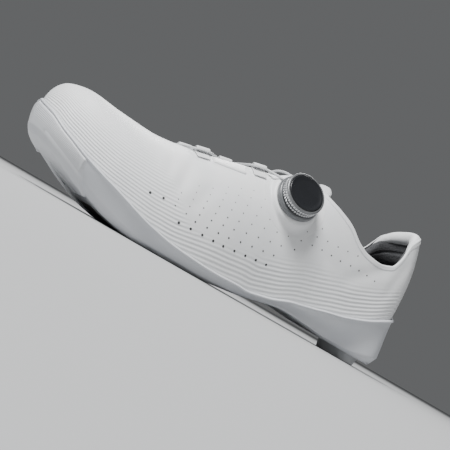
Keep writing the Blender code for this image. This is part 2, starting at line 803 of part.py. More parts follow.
# Cleat window: lateral and medial reach as shares of the ball width
Window = namedtuple("Window", "at lateral medial")
WINDOW = [
    Window(0.425, 0.115, 0.125),
    Window(0.450, 0.190, 0.195),
    Window(0.515, 0.262, 0.255),
    Window(0.590, 0.310, 0.315),
    Window(0.645, 0.325, 0.322),
    Window(0.715, 0.300, 0.285),
    Window(0.800, 0.185, 0.205),
    Window(0.822, 0.150, 0.190),
]


def window_outline():
    lateral = [(row.lateral * BALL_WIDTH, row.at * LENGTH) for row in WINDOW]
    medial = [(-row.medial * BALL_WIDTH, row.at * LENGTH) for row in reversed(WINDOW)]
    return rounded(lateral + medial, WINDOW_CORNER, 2)


def slot_centres():
    rear = BOLT_FRONT - BOLT_REACH
    return {
        "front": (BOLT_CENTRE, BOLT_FRONT),
        "lateral": (BOLT_CENTRE + BOLT_SPREAD / 2, rear),
        "medial": (BOLT_CENTRE - BOLT_SPREAD / 2, rear),
    }


WINDOW_SLICES = 16
POCKET_TOP = PLATE_RECESS + PLATE_THICKNESS + CLEAR
NUT_FOOT = 1.0 * MM
NUT_THICKNESS = 1.6 * MM


def window_slab(name, grow, low, high):
    span = (WINDOW[0].at * LENGTH + 2 * MM, WINDOW[-1].at * LENGTH - 2 * MM)
    return slab(name, grown(window_outline(), grow), lambda at: ground_height(at) + low,
                lambda at: ground_height(at) + high, *span, WINDOW_SLICES)


def make_cleat_parts():
    plate = place(window_slab("cleat_plate", -CLEAR, PLATE_RECESS, PLATE_RECESS + PLATE_THICKNESS),
                  "cleat_plate", material("plate_dark", DARK_PLATE, 0.35))
    cut(outsole, hide_cutter(window_slab("window_pocket", 0, -8 * MM, POCKET_TOP), "window_pocket"))
    nut_finish = material("nut_steel", (0.25, 0.25, 0.26), 0.4, 1.0)
    for spot, (x, y) in slot_centres().items():
        slot = extruded_outline("slot", [(px, -py) for px, py in stadium(x, y, SLOT_LENGTH, SLOT_WIDTH)],
                                -10 * MM, 20 * MM, "Z")
        cut(plate, hide_cutter(slot, "slot_" + spot))
        foot = float(ground_height(y / LENGTH)) + NUT_FOOT
        nook = extruded_outline("nook", [(px, -py) for px, py in stadium(
            x, y, NUT_LENGTH + 2 * CLEAR, NUT_WIDTH + 2 * CLEAR)],
                                -10 * MM, foot + NUT_THICKNESS + CLEAR, "Z")
        cut(outsole, hide_cutter(nook, "nook_" + spot))
        nut = extruded_outline("nut", [(px, -py) for px, py in stadium(x, y, NUT_LENGTH, NUT_WIDTH)],
                               foot, foot + NUT_THICKNESS, "Z")
        piece = place(nut, "cleat_nut_" + spot, nut_finish)
        bore = bmesh.new()
        bmesh.ops.create_cone(bore, cap_ends=True, segments=14, radius1=NUT_BORE / 2,
                              radius2=NUT_BORE / 2, depth=20 * MM)
        bmesh.ops.translate(bore, verts=bore.verts, vec=(x, -y, foot))
        bore_mesh = bpy.data.meshes.new("bore")
        bore.to_mesh(bore_mesh)
        bore.free()
        cut(piece, hide_cutter(bore_mesh, "bore_" + spot))


make_cleat_parts()


# Heel pad: arrow shaped lug with a flat tread

PAD_CORNERS = [(0.000, 0.148), (0.285, 0.105), (0.270, 0.060), (0.120, 0.043),
               (-0.150, 0.043), (-0.310, 0.058), (-0.350, 0.084)]
PAD_CORNER_RADIUS = 6 * MM
PAD_DRAFT = 0.9 * MM


def make_heel_pad():
    corners = rounded([(x * HEEL_WIDTH, y * LENGTH) for x, y in PAD_CORNERS], PAD_CORNER_RADIUS, 3)
    low = grown(corners, -PAD_DRAFT)
    count = len(corners)
    tread = grown(corners, -PAD_DRAFT - 0.5 * MM)
    levels = [(tread, 0.0), (low, 0.6 * MM), (corners, HEEL_PAD_HEIGHT - CLEAR)]
    points = []
    for outline, height in levels:
        points.extend((x, -y, height) for x, y in outline)
    faces = [tuple(range(count)), tuple(range(3 * count - 1, 2 * count - 1, -1))]
    for level in (0, 1):
        for k in range(count):
            n = (k + 1) % count
            a = level * count
            faces.append((a + k, a + n, a + count + n, a + count + k))
    finish = material("pad_grey", (0.62, 0.63, 0.64), 0.6)
    return place(mesh_from("heel_pad", points, faces), "heel_pad", finish)


heel_pad = make_heel_pad()


# Toe bumper: a skin over the toe of the sole, with two wedge shaped vents

BUMPER_EDGE = [(0.60, 0.897), (0.305, 0.893), (0.262, 0.850), (-0.030, 0.842), (-0.090, 0.862),
               (-0.190, 0.913), (-0.260, 0.940), (-0.420, 0.908), (-0.75, 0.900), (-0.75, 1.05), (0.60, 1.05)]
BUMPER_CORNER = 2.5 * MM


def wedge(tip, base, half_width, grow):
    tip = Vector(tip)
    base = Vector(base)
    ahead = (base - tip).normalized()
    aside = Vector((-ahead.y, ahead.x))
    corners = [tip - aside * 0.5 * MM, base - aside * half_width, base + aside * half_width,
               tip + aside * 0.5 * MM]
    return grown([tuple(corner) for corner in corners], grow)


VENTS = {
    "lateral": ((-0.100 * BALL_WIDTH, 0.913 * LENGTH), (0.030 * BALL_WIDTH, 0.868 * LENGTH), 1.6 * MM),
    "medial": ((-0.270 * BALL_WIDTH, 0.905 * LENGTH), (-0.228 * BALL_WIDTH, 0.852 * LENGTH), 2.1 * MM),
}


def make_bumper():
    block = extruded_outline("toe_region", rounded(
        [(x * BALL_WIDTH, -y * LENGTH) for x, y in BUMPER_EDGE], BUMPER_CORNER, 2), -5 * MM, 90 * MM, "Z")
    cover = skin("bumper_skin", outer_rings(CLEAR)[:-1], outer_rings(CLEAR + BUMPER_RAISE)[:-1], "last")
    bumper = place(cover, "toe_bumper", material("bumper_white", WHITE_SOLE, 0.5))
    cut(bumper, hide_cutter(block, "toe_region"), "INTERSECT")
    dark = material("vent_dark", (0.02, 0.02, 0.022), 0.7)
    for spot, (tip, base, half_width) in VENTS.items():
        pocket = hide_cutter(slab("vent_pocket", wedge(tip, base, half_width, 0),
                                  lambda at: ground_height(at) - 12 * MM,
                                  lambda at: ground_height(at) + VENT_DEPTH,
                                  tip[1] - 2 * MM, base[1] + 2 * MM, 3), "vent_pocket_" + spot)
        cut(bumper, pocket)
        cut(outsole, pocket)
        insert = slab("vent", wedge(tip, base, half_width, -CLEAR),
                      lambda at: ground_height(at) + CLEAR,
                      lambda at: ground_height(at) + VENT_DEPTH - CLEAR,
                      tip[1] - 2 * MM, base[1] + 2 * MM, 3)
        place(insert, "vent_" + spot, dark)
    return bumper


toe_bumper = make_bumper()


# Places on the upper

def lip_base(at, side):
    """How far the section reaches sideways from the ridge line at the lip."""
    base = plan_point(at, side) - plan_normal(at, side) * upper_inset(at, side, 0)[..., None]
    return np.abs(base[..., 0] - ridge_line(at))


def angle_at(at, side, reach):
    """Section angle at a sideways distance from the ridge line."""
    at = np.asarray(at, float)
    square = side_pick(side, square_lateral(at), square_medial(at))
    share = np.clip(reach / lip_base(at, side), 0, 1)
    return np.arccos(share ** (square / 2))


def surface_frame(y, side, reach):
    """Point of the upper's outside and its outward normal, at a length and a reach from the ridge."""
    at = np.array([y / LENGTH])
    sides = np.array([side])
    angle = angle_at(at, sides, np.array([reach]))
    point = Vector(section_point(at, sides, angle)[0])
    normal = Vector(section_normal(at, sides, angle)[0])
    return point, normal.normalized()


# Tongue

TONGUE_STEPS = 10
TONGUE_ROWS = 12


def make_tongue():
    front = THROAT_FRONT + TONGUE_TUCK
    under = WALL + 2 * CLEAR
    top_points = []
    low_points = []
    for y in np.linspace(front, TONGUE_TOP, TONGUE_ROWS):
        for step in range(TONGUE_STEPS + 1):
            across = 1 - 2 * step / TONGUE_STEPS
            side = 1 if across > 0 else -1
            reach = max(abs(across) * TONGUE_WIDTH / 2, 0.01 * MM)
            point, normal = surface_frame(y, side, reach)
            thin = 1 - 0.55 * across ** 4
            top_points.append(point - normal * under)
            low_points.append(point - normal * (under + TONGUE_THICKNESS * thin))
    columns = TONGUE_STEPS + 1
    count = len(top_points)
    faces = wrap_faces(TONGUE_ROWS, columns, False)
    faces += [tuple(count + k for k in reversed(face)) for face in wrap_faces(TONGUE_ROWS, columns, False)]
    rim = list(range(columns))
    rim += [r * columns + columns - 1 for r in range(1, TONGUE_ROWS)]
    rim += [(TONGUE_ROWS - 1) * columns + c for c in range(columns - 2, -1, -1)]
    rim += [r * columns for r in range(TONGUE_ROWS - 2, 0, -1)]
    for k, here in enumerate(rim):
        there = rim[(k + 1) % len(rim)]
        faces.append((here, there, count + there, count + here))
    return place(mesh_from("tongue", top_points + low_points, faces), "tongue",
                 material("tongue_white", WHITE_UPPER, 0.7))


tongue = make_tongue()


# Facings: thin raised strips beside the throat

FACINGS = {"lateral": (1, 0.5575 * LENGTH, 0.6376 * LENGTH), "medial": (-1, 0.5854 * LENGTH, 0.6411 * LENGTH)}
FACING_GAP = 0.8 * MM
FACING_CORNER = 2 * MM


def make_facings():
    finish = material("facing_white", WHITE_UPPER, 0.45)
    for spot, (side, back, front) in FACINGS.items():
        near = THROAT_WIDTH / 2 * 1.08 + FACING_GAP
        corners = []
        for y, reach in ((back, near), (front, near), (front, near + FACING_WIDTH * 0.8),
                         (back, near + FACING_WIDTH)):
            corners.append((side * reach + float(ridge_line(y / LENGTH)), -y))
        block = extruded_outline("facing", rounded(corners, FACING_CORNER, 2),
                                 VAMP_HEIGHT * 0.6, TAB_HEIGHT, "Z")
        cover = skin("facing_skin", upper_rows(CLEAR)[3:], upper_rows(CLEAR + FACING_RAISE)[3:], "first")
        piece = place(cover, "facing_" + spot, finish)
        cut(piece, hide_cutter(block, "facing_region_" + spot), "INTERSECT")


make_facings()


# Lace dial: white seat, dark base, knurled ring and black cap, all on one axis

def dial_frame():
    at = np.array([DIAL_AT / LENGTH])
    sides = np.array([1])
    angle = np.array([math.radians(DIAL_ANGLE)])
    point = Vector(section_point(at, sides, angle)[0])
    normal = Vector(section_normal(at, sides, angle)[0]).normalized()
    turn = normal.to_track_quat("Z", "Y").to_matrix().to_4x4()
    return Matrix.Translation(point) @ turn


DIAL = dial_frame()


def turned(name, profile, segments, radius_at=None):
    """Solid of revolution. The profile runs from the axis round to the axis, or closes on itself."""
    closed = profile[0][0] > 0
    points = []
    for k in range(segments):
        turn = 2 * math.pi * k / segments
        for index, (radius, height) in enumerate(profile):
            reach = radius if radius_at is None else radius_at(index, k, radius)
            points.append((reach * math.cos(turn), reach * math.sin(turn), height))
    rows = len(profile)
    faces = []
    for k in range(segments):
        n = (k + 1) % segments
        for r in range(rows if closed else rows - 1):
            q = (r + 1) % rows
            faces.append((k * rows + r, n * rows + r, n * rows + q, k * rows + q))
    mesh = mesh_from(name, points, faces)
    mesh.transform(DIAL)
    return mesh


def make_dial():
    seat = [(0, PAD_FOOT), (DIAL_PAD_RADIUS, PAD_FOOT), (DIAL_PAD_RADIUS, PAD_EDGE),
            (DIAL_BASE_RADIUS + PAD_SHOULDER, DIAL_SEAT - PAD_SLOPE), (DIAL_BASE_RADIUS, DIAL_SEAT),
            (0, DIAL_SEAT)]
    pad = place(turned("dial_pad", seat, 36), "dial_pad", material("dial_pad_white", WHITE_UPPER, 0.5))
    cut(pad, upper_body(CLEAR, "upper_clear"))
    low = DIAL_SEAT + CLEAR
    top = low + DIAL_BASE_HEIGHT
    ring_low = top + CLEAR
    ring_top = ring_low + DIAL_RING_HEIGHT
    recess = ring_top - DIAL_CAP_HEIGHT
    post_top = recess - CLEAR
    bevel = 0.6 * MM
    base = [(0, low), (DIAL_BASE_RADIUS - bevel, low), (DIAL_BASE_RADIUS, low + bevel),
            (DIAL_BASE_RADIUS - 0.3 * MM, top - bevel), (DIAL_BASE_RADIUS - 1.2 * MM, top),
            (DIAL_POST_RADIUS, top), (DIAL_POST_RADIUS, post_top), (0, post_top)]
    place(turned("dial_base", base, 32), "dial_base", material("dial_grey", (0.12, 0.125, 0.13), 0.45))
    bore = DIAL_POST_RADIUS + CLEAR
    rim = DIAL_CAP_RADIUS + CLEAR
    ring_profile = [
        (bore, ring_low), (DIAL_RING_RADIUS - 1.0 * MM, ring_low), (DIAL_RING_RADIUS, ring_low + 0.9 * MM),
        (DIAL_RING_RADIUS, ring_top - 1.2 * MM), (DIAL_RING_RADIUS - 0.9 * MM, ring_top),
        (rim, ring_top), (rim, recess), (bore, recess)]

    def knurl(index, k, radius):
        return radius - (0.45 * MM if index in (2, 3) and k % 2 else 0)

    place(turned("dial_ring", ring_profile, 2 * KNURLS, knurl), "dial_ring",
          material("dial_silver", (0.7, 0.7, 0.7), 0.3))
    cap = [(0, recess + CLEAR), (DIAL_CAP_RADIUS, recess + CLEAR), (DIAL_CAP_RADIUS, ring_top - 0.2 * MM),
           (DIAL_CAP_RADIUS - 0.8 * MM, ring_top + 0.3 * MM), (0, ring_top + 0.5 * MM)]
    place(turned("dial_cap", cap, 32), "dial_cap", material("cap_black", (0.015, 0.015, 0.017), 0.3))


make_dial()


# Lace guides: hooked webbing loops at the throat's edge, side and length along the shoe
Guide = namedtuple("Guide", "name side y")
GUIDES = [
    Guide("guide_lateral_front", 1, 0.662 * LENGTH),
    Guide("guide_lateral_rear", 1, 0.526 * LENGTH),
    Guide("guide_medial_front", -1, 0.6638 * LENGTH),
    Guide("guide_medial_middle", -1, 0.561 * LENGTH),
    Guide("guide_medial_rear", -1, 0.4669 * LENGTH),
]
GUIDE_RADIUS = GUIDE_BORE / 2 + GUIDE_WALL
GUIDE_SETBACK = 1.4 * MM
FLARE_BEHIND = 0.5226 * LENGTH
FLARE_NEAR = 1.05
EYE_LEAD = 1.6 * MM
LACE_BEND = 1.5 * MM
LACE_OVER_TONGUE = 1.5 * MM
CROSSING_REACHES = (9 * MM, 3 * MM, -3 * MM, -9 * MM)
CROSSING_SLANT = 0.3


def guide_frame(guide):
    """Eye centre on the upper's surface: along the throat, outwards from it, and up."""
    near = THROAT_WIDTH / 2 * (FLARE_NEAR if guide.y < FLARE_BEHIND else 1.0) + GUIDE_SETBACK
    point, normal = surface_frame(guide.y, guide.side, near)
    further, _ = surface_frame(guide.y, guide.side, near + GUIDE_TAB * 0.6)
    outward = (further - point).normalized()
    ahead, _ = surface_frame(guide.y + GUIDE_LENGTH / 2, guide.side, near)
    behind, _ = surface_frame(guide.y - GUIDE_LENGTH / 2, guide.side, near)
    along_throat = (ahead - behind).normalized()
    up = along_throat.cross(outward).normalized()
    if up.dot(normal) < 0:
        up = -up
    outward = (outward - along_throat * outward.dot(along_throat)).normalized()
    base = (ahead + behind) / 2
    lift = max((point - base).dot(up), 0)
    return base + up * (lift + 1.5 * CLEAR), along_throat, outward, up


def guide_profile():
    """Folded webbing from the side: a tab, then a hook round the lace."""
    points = [(GUIDE_TAB, 0.0), (0.0, 0.0)]
    inner = GUIDE_BORE / 2
    for k in range(1, 8):
        turn = math.radians(-90 - 250 * k / 7)
        points.append((GUIDE_RADIUS * math.cos(turn), GUIDE_RADIUS + GUIDE_RADIUS * math.sin(turn)))
    for k in range(7, -1, -1):
        turn = math.radians(-82 - 258 * k / 7)
        points.append((inner * math.cos(turn), GUIDE_RADIUS + inner * math.sin(turn)))
    points.append((GUIDE_TAB, GUIDE_WALL))
    return points


def make_guides():
    finish = material("webbing_white", (0.78, 0.79, 0.8), 0.75)
    for guide in GUIDES:
        base, along_throat, outward, up = guide_frame(guide)
        profile = guide_profile()
        count = len(profile)
        points = []
        for end in (-GUIDE_LENGTH / 2, GUIDE_LENGTH / 2):
            for out, rise in profile:
                points.append(base + along_throat * end + outward * out + up * rise)
        faces = [tuple(range(count)), tuple(range(2 * count - 1, count - 1, -1))]
        for k in range(count):
            n = (k + 1) % count
            faces.append((k, n, count + n, count + k))
        place(mesh_from(guide.name, points, faces), guide.name, finish)


make_guides()


# Lace: two thin cables from the dial, through the hooks of the guides

def eye_points(guide, forward=True):
    base, along_throat, outward, up = guide_frame(guide)
    centre = base + up * GUIDE_RADIUS
    reach = GUIDE_LENGTH / 2 + EYE_LEAD
    ends = [centre - along_throat * reach, centre + along_throat * reach]
    if not forward:
        ends.reverse()
    return ends


def bent_path(points, radius, steps=2):
    """Straight runs through hand chosen points, with each corner replaced by a short arc."""
    path = [points[0]]
    for before, here, after in zip(points, points[1:], points[2:]):
        reach = min(radius, (before - here).length * 0.45, (after - here).length * 0.45)
        start = here + (before - here).normalized() * reach
        end = here + (after - here).normalized() * reach
        for step in range(steps + 1):
            t = step / steps
            path.append(start * (1 - t) ** 2 + here * 2 * t * (1 - t) + end * t ** 2)
    path.append(points[-1])
    return path


def make_cord(name, points, finish):
    curve = bpy.data.curves.new(name, "CURVE")
    curve.dimensions = "3D"
    curve.bevel_depth = LACE / 2
    curve.bevel_resolution = 2
    curve.use_fill_caps = True
    spline = curve.splines.new("POLY")
    path = bent_path(points, LACE_BEND)
    spline.points.add(len(path) - 1)
    for slot, point in zip(spline.points, path):
        slot.co = (*point, 1)
    thing = bpy.data.objects.new(name, curve)
    CUTTERS.objects.link(thing)
    mesh = baked(thing)
    bpy.data.objects.remove(thing, do_unlink=True)
    body = bmesh.new()
    body.from_mesh(mesh)
    bmesh.ops.remove_doubles(body, verts=body.verts, dist=0.00001)
    bmesh.ops.recalc_face_normals(body, faces=body.faces)
    body.to_mesh(mesh)
    body.free()
    return place(mesh, name, finish)


def dial_edge(turn_degrees, height, extra):
    turn = math.radians(turn_degrees)
    reach = DIAL_BASE_RADIUS + CLEAR + extra
    return DIAL @ Vector((reach * math.cos(turn), reach * math.sin(turn), height))


def above_dial_pad(point):
    """Lift a point of the lace clear of the dial's pad, along the dial's axis."""
    local = DIAL.inverted() @ point
    reach = math.hypot(local.x, local.y)
    if reach < DIAL_PAD_RADIUS + LACE:
        shoulder = (DIAL_BASE_RADIUS + PAD_SHOULDER, DIAL_PAD_RADIUS)
        top = float(np.interp(reach, shoulder, (DIAL_SEAT - PAD_SLOPE, PAD_EDGE)))
        local.z = max(local.z, top + LACE / 2 + 2 * CLEAR)
    return DIAL @ local


def make_laces():
    finish = material("lace_grey", (0.55, 0.56, 0.57), 0.5)
    eyes = {guide.name: guide for guide in GUIDES}
    exit_height = DIAL_SEAT + CLEAR + DIAL_BASE_HEIGHT / 2
    start = dial_exit(eye_points(eyes["guide_lateral_rear"])[0], exit_height)
    route = [start]
    route += eye_points(eyes["guide_lateral_rear"])
    route += eye_points(eyes["guide_medial_middle"])
    route += eye_points(eyes["guide_lateral_front"])
    route += eye_points(eyes["guide_medial_front"], False)
    make_cord("lace_long", route, finish)
    first = eye_points(eyes["guide_medial_rear"])
    crossing = []
    for reach in CROSSING_REACHES:
        y = (DIAL_AT + GUIDES[-1].y) / 2 - reach * CROSSING_SLANT
        point, normal = surface_frame(y, 1 if reach > 0 else -1, abs(reach))
        crossing.append(above_dial_pad(point + normal * LACE_OVER_TONGUE))
    make_cord("lace_short", [dial_exit(crossing[0], exit_height)] + crossing + first, finish)


def dial_exit(target, height):
    """Point just outside the dial's base that faces a target."""
    local = DIAL.inverted() @ target
    turn = math.degrees(math.atan2(local.y, local.x))
    return dial_edge(turn, height, LACE / 2)


make_laces()


# Origin: the middle of the bounding box, on the floor

def shift_to_middle():
    corners = []
    for thing in SHOE.objects:
        mesh = baked(thing)
        points = np.zeros(3 * len(mesh.vertices))
        mesh.vertices.foreach_get("co", points)
        corners.append(points.reshape(-1, 3).min(axis=0))
        corners.append(points.reshape(-1, 3).max(axis=0))
        bpy.data.meshes.remove(mesh)
    low = np.min(corners, axis=0)
    high = np.max(corners, axis=0)
    return Vector((-(low[0] + high[0]) / 2, -(low[1] + high[1]) / 2, -low[2]))


SHIFT = shift_to_middle()
for thing in list(SHOE.objects) + list(CUTTERS.objects):
    thing.location = SHIFT
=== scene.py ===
# %% [markdown]
# A road cycling shoe for the left foot, white, with a lace dial on its outer side.
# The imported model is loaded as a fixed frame. Every piece made here keeps that frame's sizes,
# and only adds the detail that a plain solid leaves out.

import math
from collections import namedtuple

import bmesh
import bpy
import numpy as np
from mathutils import Matrix, Vector
from mathutils.bvhtree import BVHTree


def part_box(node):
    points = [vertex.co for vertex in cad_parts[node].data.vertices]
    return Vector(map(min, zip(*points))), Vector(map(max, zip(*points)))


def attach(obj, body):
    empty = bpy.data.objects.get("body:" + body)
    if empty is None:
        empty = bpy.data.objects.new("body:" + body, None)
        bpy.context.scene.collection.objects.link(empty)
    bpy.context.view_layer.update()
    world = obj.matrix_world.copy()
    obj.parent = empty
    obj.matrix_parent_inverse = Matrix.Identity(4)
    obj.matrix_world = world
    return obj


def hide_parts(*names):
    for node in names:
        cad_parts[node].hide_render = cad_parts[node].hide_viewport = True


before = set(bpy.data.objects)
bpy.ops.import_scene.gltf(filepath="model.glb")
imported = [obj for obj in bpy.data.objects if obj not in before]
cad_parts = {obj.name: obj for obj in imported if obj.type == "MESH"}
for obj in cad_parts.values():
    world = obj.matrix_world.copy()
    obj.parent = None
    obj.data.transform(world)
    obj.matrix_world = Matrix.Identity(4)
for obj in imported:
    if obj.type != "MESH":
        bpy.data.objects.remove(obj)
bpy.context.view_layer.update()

# %% [markdown]
# The shoe is described by a few driving sizes and by tables along its length. The same sizes and
# tables shaped the solids, so that the finer surfaces here lie exactly on them. While modelling, the
# toe points to -Y, the outer side is +X, the back of the heel is at Y = 0 and the floor at Z = 0.

# %% Driving sizes
MM = 0.001
LENGTH = 287 * MM
BALL_WIDTH = 101 * MM
WAIST_WIDTH = 69 * MM
HEEL_WIDTH = 67 * MM
TOE_SPRING = 30 * MM
ARCH_HEIGHT = 8.8 * MM
HEEL_PAD_HEIGHT = 6 * MM
HEEL_CUP = 38.5 * MM
SIDE_WALL = 10 * MM
FLANK_INSET = 5.6 * MM
SOLE_THICKNESS = 3.6 * MM
RIM = 2.1 * MM
LIP_CREST = 1.0 * MM
LIP_OVERHANG = 0.9 * MM
TUCK_MIN = 2.1 * MM
TUCK_SHARE = 0.5
ARCH_SPINE = 1.4 * MM
ARCH_SPINE_WIDTH = 17 * MM
WALL = 1.8 * MM
TAB_HEIGHT = 104 * MM
ANKLE_HEIGHT = 68 * MM
INSTEP_HEIGHT = 88 * MM
VAMP_HEIGHT = 62 * MM
TOE_BOX_HEIGHT = 67 * MM
THROAT_WIDTH = 24 * MM
THROAT_FRONT = 0.7073 * LENGTH
THROAT_BACK = 0.3693 * LENGTH
HEEL_LEAN_TOP = 15 * MM
HEEL_LEAN_REACH = 75 * MM
CLEAR = 0.3 * MM

BOLT_SPREAD = 46 * MM
BOLT_REACH = 32 * MM
BOLT_FRONT = 0.7143 * LENGTH
BOLT_CENTRE = -2.5 * MM

front_low, front_high = (np.array(corner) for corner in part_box("cleat_nut_front"))
FRONT_BOLT = (front_low + front_high) / 2
SHIFT = np.array([FRONT_BOLT[0] - BOLT_CENTRE, FRONT_BOLT[1] + BOLT_FRONT, 0])
print("the frame's origin lies at", np.round(SHIFT * 1000, 2), "mm from the heel's back")

# %% Tables along the shoe
Plan = namedtuple("Plan", "at width lateral medial")
Ground = namedtuple("Ground", "at heel arch toe")
Lip = namedtuple("Lip", "at cup lateral medial")
Flank = namedtuple("Flank", "at rise lateral medial power valley floor")
Crown = namedtuple("Crown", "at of height lateral medial pinch centre")
Edge = namedtuple("Edge", "at of height")

OUTLINE = [
    Plan(0.00, HEEL_WIDTH, 0.000, 0.000),
    Plan(0.02, HEEL_WIDTH, 0.255, 0.255),
    Plan(0.06, HEEL_WIDTH, 0.415, 0.415),
    Plan(0.12, HEEL_WIDTH, 0.490, 0.485),
    Plan(0.20, HEEL_WIDTH, 0.510, 0.490),
    Plan(0.30, WAIST_WIDTH, 0.505, 0.455),
    Plan(0.40, WAIST_WIDTH, 0.540, 0.475),
    Plan(0.50, BALL_WIDTH, 0.418, 0.382),
    Plan(0.60, BALL_WIDTH, 0.467, 0.460),
    Plan(0.67, BALL_WIDTH, 0.480, 0.503),
    Plan(0.74, BALL_WIDTH, 0.466, 0.517),
    Plan(0.81, BALL_WIDTH, 0.418, 0.500),
    Plan(0.88, BALL_WIDTH, 0.345, 0.462),
    Plan(0.94, BALL_WIDTH, 0.247, 0.408),
    Plan(0.98, BALL_WIDTH, 0.125, 0.325),
    Plan(1.00, BALL_WIDTH, -0.100, 0.100),
]

GROUND = [
    Ground(0.00, 1.20, 0.00, 0.000),
    Ground(0.04, 1.00, 0.00, 0.000),
    Ground(0.18, 1.00, 0.00, 0.000),
    Ground(0.25, 0.45, 0.55, 0.000),
    Ground(0.33, 0.05, 0.95, 0.000),
    Ground(0.39, 0.00, 0.72, 0.000),
    Ground(0.45, 0.00, 0.38, 0.000),
    Ground(0.50, 0.00, 0.19, 0.000),
    Ground(0.55, 0.00, 0.05, 0.000),
    Ground(0.60, 0.00, 0.00, 0.000),
    Ground(0.73, 0.00, 0.00, 0.000),
    Ground(0.765, 0.00, 0.00, 0.045),
    Ground(0.80, 0.00, 0.00, 0.120),
    Ground(0.836, 0.00, 0.00, 0.240),
    Ground(0.872, 0.00, 0.00, 0.385),
    Ground(0.907, 0.00, 0.00, 0.545),
    Ground(0.943, 0.00, 0.00, 0.710),
    Ground(0.98, 0.00, 0.00, 0.890),
    Ground(1.00, 0.00, 0.00, 1.000),
]

LIP = [
    Lip(0.00, 1.00, 0.00, 0.00),
    Lip(0.05, 0.89, 0.00, 0.00),
    Lip(0.155, 0.61, 0.00, 0.05),
    Lip(0.225, 0.45, 0.00, 0.20),
    Lip(0.325, 0.22, 0.07, 0.50),
    Lip(0.405, 0.06, 0.35, 0.80),
    Lip(0.45, 0.00, 0.58, 0.95),
    Lip(0.485, 0.00, 0.72, 1.00),
    Lip(0.57, 0.00, 0.86, 1.02),
    Lip(0.67, 0.00, 1.05, 1.12),
    Lip(0.745, 0.00, 1.42, 1.42),
    Lip(0.81, 0.00, 1.62, 1.60),
    Lip(0.87, 0.00, 1.48, 1.48),
    Lip(0.91, 0.00, 1.38, 1.40),
    Lip(0.95, 0.00, 1.38, 1.40),
    Lip(0.985, 0.00, 1.52, 1.52),
    Lip(1.00, 0.00, 1.65, 1.65),
]

FLANK = [
    Flank(0.00, 0.95, -0.45, -0.45, 1.40, 0.2, 2.20),
    Flank(0.05, 0.60, -0.25, -0.25, 1.40, 0.6, 2.20),
    Flank(0.12, 0.25, 1.00, 0.20, 1.20, 1.0, 2.20),
    Flank(0.20, 0.15, 1.85, 0.20, 0.80, 1.0, 2.10),
    Flank(0.30, 0.10, 1.55, 0.35, 0.75, 0.8, 1.50),
    Flank(0.38, 0.08, 1.15, 0.65, 0.70, 0.3, 1.10),
    Flank(0.45, 0.10, 0.95, 0.90, 0.70, 0.0, 0.95),
    Flank(0.55, 0.20, 0.90, 0.90, 0.70, 0.0, 1.00),
    Flank(0.65, 0.25, 0.92, 0.92, 0.70, 0.0, 1.00),
    Flank(0.75, 0.33, 0.95, 0.95, 0.70, 0.0, 1.10),
    Flank(0.82, 0.40, 0.95, 0.95, 0.80, 0.0, 1.15),
    Flank(0.88, 0.40, 0.80, 0.80, 1.30, 0.0, 1.20),
    Flank(0.94, 0.38, 0.60, 0.60, 1.80, 0.0, 1.20),
    Flank(1.00, 0.35, 0.40, 0.40, 2.00, 0.0, 1.20),
]

CROWN = [
    Crown(0.00, TAB_HEIGHT, 1.420, 2.60, 2.60, 0.34, 0.000),
    Crown(0.10, TAB_HEIGHT, 1.420, 2.60, 2.60, 0.30, 0.000),
    Crown(0.20, TAB_HEIGHT, 1.350, 2.75, 2.60, 0.15, 0.000),
    Crown(0.28, TAB_HEIGHT, 1.120, 2.85, 2.50, 0.07, 0.000),
    Crown(0.37, INSTEP_HEIGHT, 1.070, 2.55, 2.30, 0.03, -0.010),
    Crown(0.44, INSTEP_HEIGHT, 0.995, 2.20, 2.10, 0.00, -0.020),
    Crown(0.53, INSTEP_HEIGHT, 0.910, 2.15, 2.05, 0.00, -0.030),
    Crown(0.63, INSTEP_HEIGHT, 0.810, 2.15, 2.10, 0.00, -0.035),
    Crown(0.72, VAMP_HEIGHT, 1.045, 2.20, 2.20, 0.00, -0.040),
    Crown(0.78, VAMP_HEIGHT, 1.015, 2.25, 2.25, 0.00, -0.048),
    Crown(0.86, TOE_BOX_HEIGHT, 0.950, 2.30, 2.35, 0.00, -0.062),
    Crown(0.92, TOE_BOX_HEIGHT, 0.970, 2.30, 2.40, 0.00, -0.072),
    Crown(0.97, TOE_BOX_HEIGHT, 0.930, 2.20, 2.30, 0.00, -0.084),
    Crown(1.00, TOE_BOX_HEIGHT, 0.710, 2.00, 2.00, 0.00, -0.095),
]

TOPLINE = [
    Edge(-0.056, TAB_HEIGHT, 0.955),
    Edge(-0.040, TAB_HEIGHT, 0.970),
    Edge(-0.020, TAB_HEIGHT, 0.985),
    Edge(0.000, TAB_HEIGHT, 0.990),
    Edge(0.030, TAB_HEIGHT, 0.985),
    Edge(0.055, TAB_HEIGHT, 0.955),
    Edge(0.084, TAB_HEIGHT, 0.890),
    Edge(0.102, TAB_HEIGHT, 0.760),
    Edge(0.122, ANKLE_HEIGHT, 1.050),
    Edge(0.168, ANKLE_HEIGHT, 1.000),
    Edge(0.203, ANKLE_HEIGHT, 1.010),
    Edge(0.238, ANKLE_HEIGHT, 1.055),
    Edge(0.280, INSTEP_HEIGHT, 0.900),
    Edge(0.322, INSTEP_HEIGHT, 0.955),
    Edge(0.350, INSTEP_HEIGHT, 0.990),
    Edge(0.374, INSTEP_HEIGHT, 1.030),
    Edge(0.386, INSTEP_HEIGHT, 1.250),
]

# %% [markdown]
# A table gives one number at a few places along the shoe. A monotone cubic runs through them: it is
# smooth, as moulded parts are, and it never swings past a value that a row gives.

# %% Read a table anywhere along the shoe
def end_angle(at):
    return np.arccos(np.clip(1 - 2 * np.asarray(at, float), -1, 1))


